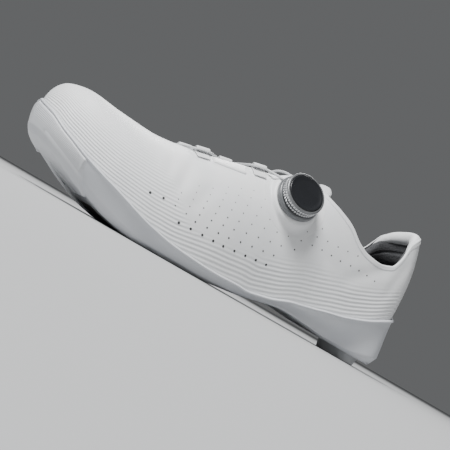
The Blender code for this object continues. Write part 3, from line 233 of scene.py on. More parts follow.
def smooth_line(xs, ys):
    xs = np.asarray(xs, float)
    ys = np.asarray(ys, float)
    run = np.diff(xs)
    slope = np.diff(ys) / run
    tangent = np.zeros(len(xs))
    tangent[0] = slope[0]
    tangent[-1] = slope[-1]
    for k in range(1, len(xs) - 1):
        if slope[k - 1] * slope[k] > 0:
            tangent[k] = 2 / (1 / slope[k - 1] + 1 / slope[k])

    def read(x):
        x = np.clip(np.asarray(x, float), xs[0], xs[-1])
        k = np.clip(np.searchsorted(xs, x, side="right") - 1, 0, len(run) - 1)
        t = (x - xs[k]) / run[k]
        rest = 1 - t
        start = (1 + 2 * t) * rest ** 2 * ys[k] + t * rest ** 2 * run[k] * tangent[k]
        end = t ** 2 * (3 - 2 * t) * ys[k + 1] - t ** 2 * rest * run[k] * tangent[k + 1]
        return start + end

    return read


def along(rows, pick):
    line = smooth_line(end_angle([row.at for row in rows]), [pick(row) for row in rows])
    return lambda at: line(end_angle(at))


outline_lateral = along(OUTLINE, lambda row: row.width * row.lateral)
outline_medial = along(OUTLINE, lambda row: -row.width * row.medial)
ground_height = along(
    GROUND, lambda row: HEEL_PAD_HEIGHT * row.heel + ARCH_HEIGHT * row.arch + TOE_SPRING * row.toe)
wall_lateral = along(LIP, lambda row: HEEL_CUP * row.cup + SIDE_WALL * row.lateral)
wall_medial = along(LIP, lambda row: HEEL_CUP * row.cup + SIDE_WALL * row.medial)
edge_rise = along(FLANK, lambda row: SIDE_WALL * row.rise)
edge_lateral = along(FLANK, lambda row: FLANK_INSET * row.lateral)
edge_medial = along(FLANK, lambda row: FLANK_INSET * row.medial)
hollow_power = along(FLANK, lambda row: row.power)
heel_valley = along(FLANK, lambda row: row.valley)
floor_rise = along(FLANK, lambda row: SOLE_THICKNESS * row.floor)
crown_height = along(CROWN, lambda row: row.of * row.height)
square_lateral = along(CROWN, lambda row: row.lateral)
square_medial = along(CROWN, lambda row: row.medial)
ankle_pinch = along(CROWN, lambda row: row.pinch)
ridge_line = along(CROWN, lambda row: BALL_WIDTH * row.centre)
topline_height = smooth_line([row.at * LENGTH for row in TOPLINE],
                             [row.of * row.height for row in TOPLINE])

# %% Outline, lip and flank
def side_pick(side, lateral, medial):
    return np.where(np.asarray(side) > 0, lateral, medial)


def plan_point(at, side):
    x = side_pick(side, outline_lateral(at), outline_medial(at))
    return np.stack([x, np.asarray(at, float) * LENGTH], axis=-1)


def plan_normal(at, side):
    step = 0.004
    angle = end_angle(at)

    def point(value):
        flipped = (value < 0) | (value > math.pi)
        return plan_point((1 - np.cos(value)) / 2, np.where(flipped, -np.asarray(side), side))

    travel = point(angle + step) - point(angle - step)
    normal = np.stack([travel[..., 1], -travel[..., 0]], axis=-1) * np.asarray(side)[..., None]
    return normal / np.linalg.norm(normal, axis=-1, keepdims=True)


def lip_height(at, side):
    return ground_height(at) + side_pick(side, wall_lateral(at), wall_medial(at))


def edge_inset(at, side):
    return side_pick(side, edge_lateral(at), edge_medial(at))


def flank_inset(at, side, share):
    hollow = share ** hollow_power(at)
    valley = share * share * (3 - 2 * share)
    blend = heel_valley(at)
    return LIP_OVERHANG + (edge_inset(at, side) - LIP_OVERHANG) * (hollow * (1 - blend) + valley * blend)


def flank_height(at, side, share):
    top = lip_height(at, side) - 2 * LIP_CREST
    bottom = ground_height(at) + edge_rise(at)
    return top + (bottom - top) * share


def tuck_depth(at, side):
    depth = lip_height(at, side) - ground_height(at) - floor_rise(at)
    return np.minimum(np.maximum(TUCK_MIN, TUCK_SHARE * depth), depth)


def share_at_depth(at, side, depth):
    top = 2 * LIP_CREST
    run = lip_height(at, side) - ground_height(at) - edge_rise(at) - top
    return np.clip((depth - top) / run, 0, 1)


def inner_inset(at, side, depth):
    tuck = tuck_depth(at, side)
    low = np.maximum(depth, tuck)
    outer = flank_inset(at, side, share_at_depth(at, side, low)) - LIP_OVERHANG
    return RIM + outer * np.minimum(depth / tuck, 1)


def upper_inset(at, side, depth):
    return inner_inset(at, side, depth) + CLEAR


# %% [markdown]
# The camera looks from the photo's direction round the shoe and keeps its roll. The photo looks up
# from below the floor, so here the camera stops just above it. The floor is pale and plain, and
# three soft round lights and a pale sky do the rest.

# %% Camera, floor and lights
CAMERA_AZIMUTH = 64.4
CAMERA_ELEVATION = -3.3
CAMERA_ROLL = 30.0
CAMERA_DISTANCE = 0.574
CAMERA_LENS = 72
CAMERA_TARGET = np.array([0.004, -0.149, 0.038]) + SHIFT
LIGHT_TARGET = (0, 0, 0.05)
SKY_STRENGTH = 0.15
FLOOR_REACH = 6


def camera_matrix():
    a = math.radians(CAMERA_AZIMUTH)
    e = math.radians(CAMERA_ELEVATION)
    back = Vector((math.sin(a) * math.cos(e), -math.cos(a) * math.cos(e), math.sin(e)))
    right = Vector((0, 0, 1)).cross(back).normalized()
    up = back.cross(right)
    c = math.cos(math.radians(CAMERA_ROLL))
    s = math.sin(math.radians(CAMERA_ROLL))
    turned_right = right * c + up * s
    turned_up = up * c - right * s
    place = Vector(CAMERA_TARGET) + back * CAMERA_DISTANCE
    rows = [(turned_right[k], turned_up[k], back[k], place[k]) for k in range(3)]
    return Matrix(rows + [(0, 0, 0, 1)])


camera_data = bpy.data.cameras.new("photo_camera")
camera_data.lens = CAMERA_LENS
camera_data.sensor_width = 36
camera_data.clip_start = 0.01
camera = bpy.data.objects.new("photo_camera", camera_data)
camera.matrix_world = camera_matrix()
bpy.context.scene.collection.objects.link(camera)
bpy.context.scene.camera = camera
print("camera", np.round(camera.matrix_world.translation, 3))


def add_area_light(name, place, size, power):
    data = bpy.data.lights.new(name, "AREA")
    data.shape = "DISK"
    data.size = size
    data.energy = power
    light = bpy.data.objects.new(name, data)
    aim = Vector(place) - Vector(LIGHT_TARGET)
    light.matrix_world = Matrix.Translation(place) @ aim.to_track_quat("Z", "Y").to_matrix().to_4x4()
    bpy.context.scene.collection.objects.link(light)


add_area_light("key_light", (0.30, -0.62, 1.05), 0.42, 30)
add_area_light("side_light", (1.1, 0.65, 0.40), 0.6, 2.2)
add_area_light("back_light", (-0.75, 0.35, 0.8), 0.5, 6)

world = bpy.data.worlds.new("studio_sky")
world.use_nodes = True
world.node_tree.nodes["Background"].inputs["Color"].default_value = (0.86, 0.88, 0.9, 1)
world.node_tree.nodes["Background"].inputs["Strength"].default_value = SKY_STRENGTH
bpy.context.scene.world = world

# %% [markdown]
# Materials are built from nodes. A small set of helpers keeps each finish to a few readable lines:
# one makes the shader, one adds noise, one adds a bump, and one tints the base colour.

# %% Material helpers
def new_finish(name, colour, roughness, **sockets):
    made = bpy.data.materials.new(name)
    made.use_nodes = True
    shader = made.node_tree.nodes["Principled BSDF"]
    shader.inputs["Base Color"].default_value = (*colour, 1)
    shader.inputs["Roughness"].default_value = roughness
    for socket, value in sockets.items():
        shader.inputs[socket.replace("_", " ")].default_value = value
    return made


def node(finish, kind, **settings):
    made = finish.node_tree.nodes.new(kind)
    for name, value in settings.items():
        setattr(made, name, value)
    return made


def wire(finish, source, target):
    finish.node_tree.links.new(source, target)


def shoe_coordinates(finish):
    return node(finish, "ShaderNodeTexCoord").outputs["Object"]


def math_step(finish, operation, first, second=None):
    step = node(finish, "ShaderNodeMath", operation=operation)
    for slot, value in zip(step.inputs, (first, second)):
        if value is None:
            continue
        if isinstance(value, (int, float)):
            slot.default_value = value
        else:
            wire(finish, value, slot)
    return step.outputs[0]


def wave(finish, value, pitch):
    return math_step(finish, "SINE", math_step(finish, "MULTIPLY", value, pitch))


def surface_axes(finish):
    """The two directions of a piece's own surface map."""
    split = node(finish, "ShaderNodeSeparateXYZ")
    wire(finish, node(finish, "ShaderNodeUVMap", uv_map="surface").outputs["UV"], split.inputs["Vector"])
    return split.outputs["X"], split.outputs["Y"]


def noise(finish, scale, detail):
    texture = node(finish, "ShaderNodeTexNoise")
    texture.inputs["Scale"].default_value = scale
    texture.inputs["Detail"].default_value = detail
    wire(finish, shoe_coordinates(finish), texture.inputs["Vector"])
    return texture.outputs["Fac"]


def remap(finish, value, low, high, new_low, new_high):
    ranged = node(finish, "ShaderNodeMapRange", interpolation_type="SMOOTHSTEP")
    numbers = {"From Min": low, "From Max": high, "To Min": new_low, "To Max": new_high}
    for socket, number in numbers.items():
        ranged.inputs[socket].default_value = number
    wire(finish, value, ranged.inputs["Value"])
    return ranged.outputs["Result"]


def mottle(finish, scale, detail, low=0, high=1):
    """Soft patches that run between two values."""
    return remap(finish, noise(finish, scale, detail), 0.3, 0.7, low, high)


def tint(finish, factor, dark, light):
    mix = node(finish, "ShaderNodeMix", data_type="RGBA")
    wire(finish, factor, mix.inputs["Factor"])
    mix.inputs["A"].default_value = (*dark, 1)
    mix.inputs["B"].default_value = (*light, 1)
    wire(finish, mix.outputs["Result"], finish.node_tree.nodes["Principled BSDF"].inputs["Base Color"])


def gloss(finish, value):
    wire(finish, value, finish.node_tree.nodes["Principled BSDF"].inputs["Roughness"])


def bumps(finish, *layers):
    """Each layer is (height, strength, depth in metres)."""
    normal = None
    for height, strength, depth in layers:
        bump = node(finish, "ShaderNodeBump")
        bump.inputs["Strength"].default_value = strength
        bump.inputs["Distance"].default_value = depth
        wire(finish, height, bump.inputs["Height"])
        if normal is not None:
            wire(finish, normal, bump.inputs["Normal"])
        normal = bump.outputs["Normal"]
    wire(finish, normal, finish.node_tree.nodes["Principled BSDF"].inputs["Normal"])


# %% Mesh helpers
def new_piece(name, points, faces, finishes, face_slots=None, fields=None, uv=None, merge=0.00001):
    """Mesh at its place in the frame, its doubles merged, smooth and with its faces outwards."""
    mesh = bpy.data.meshes.new(name)
    mesh.from_pydata([tuple(point + SHIFT) for point in np.asarray(points, float)], [], faces)
    if not isinstance(finishes, (list, tuple)):
        finishes = [finishes]
    for finish in finishes:
        mesh.materials.append(finish)
    if face_slots is not None:
        mesh.polygons.foreach_set("material_index", np.asarray(face_slots, np.int32))
    for field, values in (fields or {}).items():
        layer = mesh.attributes.new(field, "FLOAT", "POINT")
        layer.data.foreach_set("value", np.asarray(values, np.float32))
    if uv is not None:
        corners = np.zeros(len(mesh.loops), np.int32)
        mesh.loops.foreach_get("vertex_index", corners)
        layer = mesh.uv_layers.new(name="surface")
        layer.data.foreach_set("uv", np.asarray(uv, np.float32)[corners].ravel())
    body = bmesh.new()
    body.from_mesh(mesh)
    bmesh.ops.remove_doubles(body, verts=body.verts, dist=merge)
    bmesh.ops.dissolve_degenerate(body, edges=body.edges, dist=merge / 4)
    bmesh.ops.delete(body, geom=[vert for vert in body.verts if not vert.link_faces], context="VERTS")
    bmesh.ops.recalc_face_normals(body, faces=body.faces)
    body.to_mesh(mesh)
    body.free()
    mesh.polygons.foreach_set("use_smooth", np.ones(len(mesh.polygons), bool))
    thing = bpy.data.objects.new(name, mesh)
    bpy.context.scene.collection.objects.link(thing)
    return thing


def sharpen(thing, degrees):
    thing.data.set_sharp_from_angle(angle=math.radians(degrees))


def applied(thing):
    """Turn what the modifiers make into the object's plain mesh."""
    bpy.context.view_layer.update()
    ready = thing.evaluated_get(bpy.context.evaluated_depsgraph_get())
    mesh = bpy.data.meshes.new_from_object(ready)
    thing.modifiers.clear()
    old = thing.data
    thing.data = mesh
    bpy.data.meshes.remove(old)
    mesh.name = thing.name
    return thing


def add_modifier(thing, kind, **settings):
    step = thing.modifiers.new(kind.lower(), kind)
    for name, value in settings.items():
        setattr(step, name, value)
    return step


def sealed(thing):
    """Join corners that a cut left a hair apart, and fill what is still open."""
    body = bmesh.new()
    body.from_mesh(thing.data)
    bmesh.ops.remove_doubles(body, verts=body.verts, dist=0.000003)
    bmesh.ops.holes_fill(body, edges=[edge for edge in body.edges if edge.is_boundary], sides=12)
    body.to_mesh(thing.data)
    body.free()


def carve(thing, cutters):
    """Cut each cutter out, apply, and remove the cutters."""
    for cutter in cutters:
        add_modifier(thing, "BOOLEAN", operation="DIFFERENCE", solver="EXACT", object=cutter)
    applied(thing)
    sealed(thing)
    for cutter in cutters:
        bpy.data.objects.remove(cutter, do_unlink=True)
    return thing


def grid_faces(rows, columns, close):
    faces = []
    span = columns if close else columns - 1
    for r in range(rows - 1):
        for c in range(span):
            d = (c + 1) % columns
            faces.append((r * columns + c, r * columns + d, (r + 1) * columns + d, (r + 1) * columns + c))
    return faces


def capped_faces(loops, count):
    """Quads between loops of points, and one face over each end."""
    last = (loops - 1) * count
    ends = [tuple(range(count)), tuple(range(last + count - 1, last - 1, -1))]
    return grid_faces(loops, count, True) + ends


def closed_sheet(front, back):
    """Points and faces of two grids, one over the other, that are joined round their border."""
    rows, columns = front.shape[:2]
    count = rows * columns
    sheet = grid_faces(rows, columns, False)
    faces = sheet + [tuple(count + k for k in reversed(face)) for face in sheet]
    rim = list(range(columns)) + [r * columns + columns - 1 for r in range(1, rows)]
    rim += [(rows - 1) * columns + c for c in range(columns - 2, -1, -1)]
    rim += [r * columns for r in range(rows - 2, 0, -1)]
    for here, there in zip(rim, rim[1:] + rim[:1]):
        faces.append((here, there, count + there, count + here))
    return np.concatenate([front.reshape(-1, 3), back.reshape(-1, 3)]), faces


def unit(vectors):
    return vectors / np.maximum(np.linalg.norm(vectors, axis=-1, keepdims=True), 1e-12)


def sheet_normals(grid):
    """Normals of an open grid, all on one side of it."""
    return unit(np.cross(np.gradient(grid, axis=0), np.gradient(grid, axis=1)))


def away_from_middle(normal, points):
    away = np.sum(normal * (points - points.mean(axis=(0, 1)))) > 0
    return normal if away else -normal


def smooth_step(value, low, high):
    share = np.clip((np.asarray(value, float) - low) / (high - low), 0, 1)
    return share * share * (3 - 2 * share)


def triangles(thing):
    return sum(len(face.vertices) - 2 for face in thing.data.polygons)


def finished(thing, slot, *nodes):
    """The piece rides on the shoe and stands for its nodes, which it hides. Its slot is not used."""
    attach(thing, "root")
    if nodes:
        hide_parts(*nodes)
    print(thing.name, triangles(thing), "triangles")
    return thing


# %% Floor
floor_finish = new_finish("floor_paper", (0.40, 0.405, 0.41), 0.9)
corners = FLOOR_REACH * np.array([(-1, -1, 0), (1, -1, 0), (1, 1, 0), (-1, 1, 0)])
floor = new_piece("floor", corners - SHIFT, [(0, 1, 2, 3)], floor_finish)

# %% [markdown]
# The sole is moulded in one white piece: a flat tread under the ball, a raised spine under the arch,
# hollow flanks under a thin lip, and a cup round the heel. Loops run round its outline, from the
# middle of the underside, over the lip and down inside the tray. A box with bevels could never
# follow these flanks, so the loops are worked out from the tables.

# %% Sole finish
sole_finish = new_finish("sole_white", (0.60, 0.615, 0.645), 0.42, Coat_Weight=0.12, Coat_Roughness=0.35)
tint(sole_finish, mottle(sole_finish, 28, 3), (0.565, 0.582, 0.615), (0.625, 0.64, 0.665))
gloss(sole_finish, mottle(sole_finish, 60, 4, 0.38, 0.50))
bumps(sole_finish, (noise(sole_finish, 1500, 2), 0.25, 0.00006), (noise(sole_finish, 240, 2), 0.12, 0.0001))

# %% Loops of the sole
SOLE_HALF = 190
SOLE_COLUMNS = 2 * SOLE_HALF
FLANK_LOOPS = 17
BOTTOM_FLAT_FROM = 0.13
BOTTOM_END = 26 * MM
FLOOR_END = 30 * MM


def column_stations(half):
    k = np.arange(2 * half)
    step = np.where(k <= half, k, 2 * half - k)
    return (1 - np.cos(math.pi * step / half)) / 2, np.where(k <= half, 1, -1)


AT, SIDE = column_stations(SOLE_HALF)


def ring(inset, height, at=AT, side=SIDE):
    flat = plan_point(at, side) - plan_normal(at, side) * np.broadcast_to(inset, at.shape)[:, None]
    return np.column_stack([flat[:, 0], -flat[:, 1], np.broadcast_to(height, at.shape)])


def toward_middle(loop, share, height_at, end_gap):
    count = len(loop)
    other = loop[[(count - k) % count for k in range(count)]]
    middle = (loop + other) / 2
    middle[:, 1] = -(end_gap + AT * (LENGTH - 2 * end_gap))
    moved = loop + (middle - loop) * share
    moved[:, 2] = height_at(-moved[:, 1] / LENGTH, share)
    return moved


def bottom_height(at, share):
    curl = np.clip((BOTTOM_FLAT_FROM - share) / BOTTOM_FLAT_FROM, 0, 1) ** 1.5
    return ground_height(at) + edge_rise(at) * curl


def arch_spine(points):
    at = -points[:, 1] / LENGTH
    fade = np.clip((at - 0.19) / 0.06, 0, 1) * np.clip((0.425 - at) / 0.05, 0, 1)
    across = np.clip(1 - np.abs(points[:, 0]) / (ARCH_SPINE_WIDTH / 2), 0, 1)
    soft = across * across * (3 - 2 * across)
    points[:, 2] -= ARCH_SPINE * (0.5 * across + 0.5 * soft) * fade * fade * (3 - 2 * fade)
    return points


def bottom_shares(flat, curled):
    """Shares of the way in to the middle line: wide steps where it is flat, close ones at the edge."""
    edge_shares = np.linspace(BOTTOM_FLAT_FROM, 0, curled)[1:]
    return np.concatenate([np.linspace(1, BOTTOM_FLAT_FROM, flat), edge_shares])


def sole_outside():
    edge = ring(edge_inset(AT, SIDE), ground_height(AT) + edge_rise(AT))
    shares = bottom_shares(16, 9)[:-1]
    loops = [arch_spine(toward_middle(edge, share, bottom_height, BOTTOM_END)) for share in shares]
    loops.append(edge)
    for share in np.linspace(1, 0, FLANK_LOOPS + 2)[1:-1]:
        loops.append(ring(flank_inset(AT, SIDE, share), flank_height(AT, SIDE, share)))
    loops.append(ring(LIP_OVERHANG, lip_height(AT, SIDE) - 2 * LIP_CREST))
    return loops


def sole_inside():
    lip = lip_height(AT, SIDE)
    tuck = tuck_depth(AT, SIDE)
    nose = [(LIP_OVERHANG * 0.35, 1.6), (0.04 * MM, 1.2), (0, 0.85), (0.12 * RIM, 0.45),
            (0.32 * RIM, 0.16), (0.58 * RIM, 0), (0.84 * RIM, 0.05), (0.99 * RIM, 0.4)]
    loops = [ring(inset, lip - drop * LIP_CREST) for inset, drop in nose]
    loops.append(ring(inner_inset(AT, SIDE, tuck), lip - tuck))
    ledge_end = upper_inset(AT, SIDE, tuck) + WALL + 1.2 * CLEAR
    loops.append(ring(ledge_end, lip - tuck))
    return loops + floor_loops()


def floor_height(at):
    return ground_height(at) + floor_rise(at)


def floor_loops():
    lip = lip_height(AT, SIDE)
    tuck = tuck_depth(AT, SIDE)
    ledge = upper_inset(AT, SIDE, tuck) + WALL + 1.2 * CLEAR
    low = inner_inset(AT, SIDE, lip - floor_height(AT)) + RIM * 0.3
    inset = np.maximum(ledge + 1.0 * MM, low)
    edge = ring(inset, np.minimum(floor_height(AT), lip - tuck - 0.05 * MM))
    inner = [toward_middle(edge, share, lambda at, _: floor_height(at), FLOOR_END) for share in (0.3, 1.0)]
    return [edge] + inner


# %% Build the sole
sole_loops = sole_outside() + sole_inside()
sole_faces = grid_faces(len(sole_loops), SOLE_COLUMNS, True)
outsole = new_piece("outsole_moulded", np.concatenate(sole_loops), sole_faces, sole_finish)

# %% [markdown]
# A dark plate shows through a window under the ball. Its pocket, the room for the three threaded
# nuts and the two air inlets at the toe are cut with prisms.

# %% Flat outlines and prisms
def corner_curve(before, here, after, radius, steps):
    """Soft arc in place of the corner at the middle one of three points."""
    reach = min(radius, (before - here).length * 0.45, (after - here).length * 0.45)
    start = here + (before - here).normalized() * reach
    end = here + (after - here).normalized() * reach
    shares = [step / steps for step in range(steps + 1)]
    return [start * (1 - t) ** 2 + here * 2 * t * (1 - t) + end * t ** 2 for t in shares]


def rounded(corners, radius, steps):
    places = [Vector(corner) for corner in corners]
    points = []
    for before, here, after in zip(places[-1:] + places[:-1], places, places[1:] + places[:1]):
        points += [(point.x, point.y) for point in corner_curve(before, here, after, radius, steps)]
    return points


def grown(corners, distance):
    points = [Vector(corner) for corner in corners]
    area = sum(a.x * b.y - b.x * a.y for a, b in zip(points, points[1:] + points[:1]))
    turn = 1 if area > 0 else -1
    moved = []
    for k, here in enumerate(points):
        before = (here - points[k - 1]).normalized()
        after = (points[(k + 1) % len(points)] - here).normalized()
        normal = Vector((before.y + after.y, -before.x - after.x)) * turn
        normal.normalize()
        lean = max(0.6, normal.dot(Vector((after.y, -after.x)) * turn))
        moved.append(tuple(here + normal * distance / lean))
    return moved


def slab(name, corners, low_at, high_at, slices, finish):
    """Flat outline with a thickness that follows a height along the shoe. Corners are (x, length)."""
    body = bmesh.new()
    body.faces.new([body.verts.new((x, -y, 0)) for x, y in corners])
    lengths = [y for x, y in corners]
    for y in np.linspace(min(lengths), max(lengths), slices + 2)[1:-1]:
        bmesh.ops.bisect_plane(body, geom=body.verts[:] + body.edges[:] + body.faces[:], dist=0.000001,
                               plane_co=(0, -y, 0), plane_no=(0, 1, 0))
    raised = bmesh.ops.extrude_face_region(body, geom=body.faces[:])
    top = {item for item in raised["geom"] if isinstance(item, bmesh.types.BMVert)}
    for vert in body.verts:
        level = high_at if vert in top else low_at
        vert.co.z = float(level(-vert.co.y / LENGTH))
        vert.co += Vector(SHIFT)
    bmesh.ops.recalc_face_normals(body, faces=body.faces)
    mesh = bpy.data.meshes.new(name)
    body.to_mesh(mesh)
    body.free()
    mesh.materials.append(finish)
    thing = bpy.data.objects.new(name, mesh)
    bpy.context.scene.collection.objects.link(thing)
    return thing


def stadium(centre_x, centre_y, length, width):
    steps = 12
    radius = width / 2
    half = length / 2 - radius
    points = []
    for end in (1, -1):
        for k in range(steps + 1):
            turn = math.pi * k / steps
            points.append((centre_x + end * radius * math.cos(turn),
                           centre_y + end * (half + radius * math.sin(turn))))
    return points


# %% Window, nuts and vents cut out of the sole
PLATE_THICKNESS = 1.2 * MM
PLATE_RECESS = 0.4 * MM
WINDOW_CORNER = 4 * MM
NUT_LENGTH = 11 * MM
NUT_WIDTH = 6.2 * MM
NUT_FOOT = 1.0 * MM
NUT_THICKNESS = 1.6 * MM
BUMPER_RAISE = 1.3 * MM
VENT_DEPTH = 1.2 * MM
VENT_TIP = 0.5 * MM
CUT_BELOW = 12 * MM
POCKET_TOP = PLATE_RECESS + PLATE_THICKNESS + CLEAR

Window = namedtuple("Window", "at lateral medial")
WINDOW = [
    Window(0.425, 0.115, 0.125),
    Window(0.450, 0.190, 0.195),
    Window(0.515, 0.262, 0.255),
    Window(0.590, 0.310, 0.315),
    Window(0.645, 0.325, 0.322),
    Window(0.715, 0.300, 0.285),
    Window(0.800, 0.185, 0.205),
    Window(0.822, 0.150, 0.190),
]


def window_outline():
    lateral = [(row.lateral * BALL_WIDTH, row.at * LENGTH) for row in WINDOW]
    medial = [(-row.medial * BALL_WIDTH, row.at * LENGTH) for row in reversed(WINDOW)]
    return rounded(lateral + medial, WINDOW_CORNER, 6)


REAR_BOLTS = BOLT_FRONT - BOLT_REACH
SLOTS = {
    "front": (BOLT_CENTRE, BOLT_FRONT),
    "lateral": (BOLT_CENTRE + BOLT_SPREAD / 2, REAR_BOLTS),
    "medial": (BOLT_CENTRE - BOLT_SPREAD / 2, REAR_BOLTS),
}
VENTS = {
    "lateral": ((-0.100 * BALL_WIDTH, 0.913 * LENGTH), (0.030 * BALL_WIDTH, 0.868 * LENGTH), 1.6 * MM),
    "medial": ((-0.270 * BALL_WIDTH, 0.905 * LENGTH), (-0.228 * BALL_WIDTH, 0.852 * LENGTH), 2.1 * MM),
}


def wedge(tip, base, half_width):
    tip = Vector(tip)
    base = Vector(base)
    ahead = (base - tip).normalized()
    aside = Vector((-ahead.y, ahead.x))
    near = [tip - aside * VENT_TIP, base - aside * half_width]
    far = [base + aside * half_width, tip + aside * VENT_TIP]
    return [tuple(corner) for corner in near + far]


def sole_cutters():
    cutters = [slab("pocket", window_outline(), lambda at: ground_height(at) - CUT_BELOW,
                    lambda at: ground_height(at) + POCKET_TOP, 24, sole_finish)]
    for x, y in SLOTS.values():
        top = float(ground_height(y / LENGTH)) + NUT_FOOT + NUT_THICKNESS + CLEAR
        nook = stadium(x, y, NUT_LENGTH + 2 * CLEAR, NUT_WIDTH + 2 * CLEAR)
        cutters.append(slab("nook", nook, lambda at: -CUT_BELOW, lambda at, top=top: top, 0, sole_finish))
    return cutters


def vent_cutters():
    return [slab("vent_pocket", wedge(*vent), lambda at: ground_height(at) - CUT_BELOW,
                 lambda at: ground_height(at) + VENT_DEPTH, 6, sole_finish) for vent in VENTS.values()]


carve(outsole, sole_cutters() + vent_cutters())
sharpen(outsole, 32)
finished(outsole, "sole", "outsole")

# %% [markdown]
# The upper is one thin white shell, glued into the sole's lip and open at the collar and the throat.
# Each column of its grid starts at the lip and climbs to the ridge, or stops where the topline or
# the throat cuts it. The cut edge is rolled over in a half circle, as a folded binding is, and the
# grid comes back down inside as a dark lining.

# %% Section of the upper
HEEL_BOW = 1.5 * MM
PINCH_REACH = 60 * MM


def heel_lean(height):
    share = np.clip((height - HEEL_CUP - HEEL_PAD_HEIGHT) / HEEL_LEAN_REACH, 0, 1.6)
    return HEEL_LEAN_TOP * share ** 2 - HEEL_BOW * np.sin(math.pi * np.clip(share, 0, 1)) ** 2


def section_pinch(at, over):
    return 1 - ankle_pinch(at) * np.clip(over / PINCH_REACH, 0, 1.3) ** 1.6


def section_point(at, side, angle):
    """Outside of the upper: station, side and angle from the lip (0) to the ridge."""
    at = np.asarray(at, float)
    side = np.asarray(side)
    inset = upper_inset(at, side, 0)[..., None]
    base = plan_point(at, side) - plan_normal(at, side) * inset
    other = plan_point(at, -side) - plan_normal(at, -side) * inset
    middle_y = (base[..., 1] + other[..., 1]) / 2
    centre = ridge_line(at)
    square = side_pick(side, square_lateral(at), square_medial(at))
    lip = lip_height(at, side)
    out = np.abs(np.cos(angle)) ** (2 / square)
    up = np.abs(np.sin(angle)) ** (2 / square)
    height = lip + (crown_height(at) - lip) * up
    x = centre + (base[..., 0] - centre) * out * section_pinch(at, height - lip)
    y = base[..., 1] + (middle_y - base[..., 1]) * np.sin(angle) ** 2
    y = y + heel_lean(height) * np.clip(1 - at / 0.24, 0, 1) ** 1.3
    return np.stack([x, -y, height], axis=-1)


def lip_base(at, side):
    base = plan_point(at, side) - plan_normal(at, side) * upper_inset(at, side, 0)[..., None]
    return np.abs(base[..., 0] - ridge_line(at))


# %% Where the topline and the throat cut it
THROAT_HALF = THROAT_WIDTH / 2
THROAT_ROUND = THROAT_FRONT - THROAT_HALF
THROAT_PAST_COLLAR = 14 * MM
THROAT_REAR = THROAT_BACK - THROAT_PAST_COLLAR
THROAT_FLARE = 0.25
EDGE_TRIES = 30
NEARLY_RIDGE = 1.565


def throat_reach(y):
    """Half width of the throat at a length along the shoe: a round front, then a slow flare."""
    into = np.clip((y - THROAT_ROUND) / THROAT_HALF, 0, 1)
    back = np.clip((THROAT_ROUND - y) / (THROAT_ROUND - THROAT_REAR), 0, 1.2)
    return THROAT_HALF * (np.sqrt(1 - into ** 2) + THROAT_FLARE * back)


def soft_least(first, second, blend):
    share = np.clip(0.5 + 0.5 * (second - first) / np.maximum(blend, 1e-6), 0, 1)
    return second + (first - second) * share - blend * share * (1 - share)


def edge_angle(at, side):
    square = side_pick(side, square_lateral(at), square_medial(at))
    lip = lip_height(at, side)
    topline = np.full(at.shape, 1.2)
    throat = np.full(at.shape, 1.2)
    for _ in range(EDGE_TRIES):
        point = section_point(at, side, topline)
        share = np.clip((topline_height(-point[..., 1]) - lip) / (crown_height(at) - lip), 0, 1)
        topline = 0.5 * topline + 0.5 * np.arcsin(share ** (square / 2))
        over = section_point(at, side, throat)[..., 2] - lip
        share = np.clip(throat_reach(at * LENGTH) / (lip_base(at, side) * section_pinch(at, over)), 0, 1)
        throat = 0.5 * throat + 0.5 * np.arccos(share ** (square / 2))
    topline = np.where(topline > NEARLY_RIDGE, math.pi / 2, topline)
    clear_of_throat = (at * LENGTH > THROAT_FRONT - 0.001 * MM) | (at * LENGTH < THROAT_REAR - 4 * MM)
    throat = np.where(clear_of_throat, math.pi / 2, throat)
    return soft_least(topline, throat, 0.16 * np.clip((0.43 - at) / 0.04, 0, 1))


# %% Columns and rows of the upper
HEEL_TURN = 0.40 * math.pi
END_COLUMNS = 84
MIDDLE_COLUMNS = 50
THROAT_TURN_COLUMNS = 28


def upper_stations():
    heel = (1 - np.cos(np.linspace(0, HEEL_TURN, END_COLUMNS))) / 2
    middle = np.linspace(heel[-1], THROAT_ROUND / LENGTH, MIDDLE_COLUMNS)[1:]
    turn = np.linspace(0, math.pi / 2, THROAT_TURN_COLUMNS)[1:]
    throat = (THROAT_ROUND + THROAT_HALF * np.sin(turn)) / LENGTH
    toe_turn = np.linspace(float(end_angle(throat[-1])), math.pi, END_COLUMNS)[1:]
    toe = (1 - np.cos(toe_turn)) / 2
    half = np.concatenate([heel, middle, throat, toe])
    return half, len(heel) + len(middle) + len(throat) - 1


HALF_STATIONS, THROAT_COLUMN = upper_stations()
UPPER_HALF = len(HALF_STATIONS) - 1
UPPER_COLUMNS = 2 * UPPER_HALF
UPPER_AT = np.concatenate([HALF_STATIONS, HALF_STATIONS[-2:0:-1]])
UPPER_SIDE = np.concatenate([np.ones(UPPER_HALF + 1), -np.ones(UPPER_HALF - 1)])
DENSE_FROM = 0.93
ROW_SHARES = np.concatenate([DENSE_FROM * np.linspace(0, 1, 100) ** 1.3, np.linspace(DENSE_FROM, 1, 19)[1:]])
OUTER_ROWS = len(ROW_SHARES)
RIM_ROWS = 7
INNER_ROWS = 24

EDGE_ANGLE = edge_angle(UPPER_AT, UPPER_SIDE)
OPEN = np.zeros(UPPER_COLUMNS, bool)
OPEN[:THROAT_COLUMN + 1] = True
OPEN[UPPER_COLUMNS - THROAT_COLUMN:] = True
print("upper:", UPPER_COLUMNS, "columns, throat front at column", THROAT_COLUMN)


def grid_normals(points):
    """Outward normals of a grid that closes round its columns."""
    across = np.roll(points, -1, axis=0) - np.roll(points, 1, axis=0)
    return away_from_middle(unit(np.cross(across, np.gradient(points, axis=1))), points)


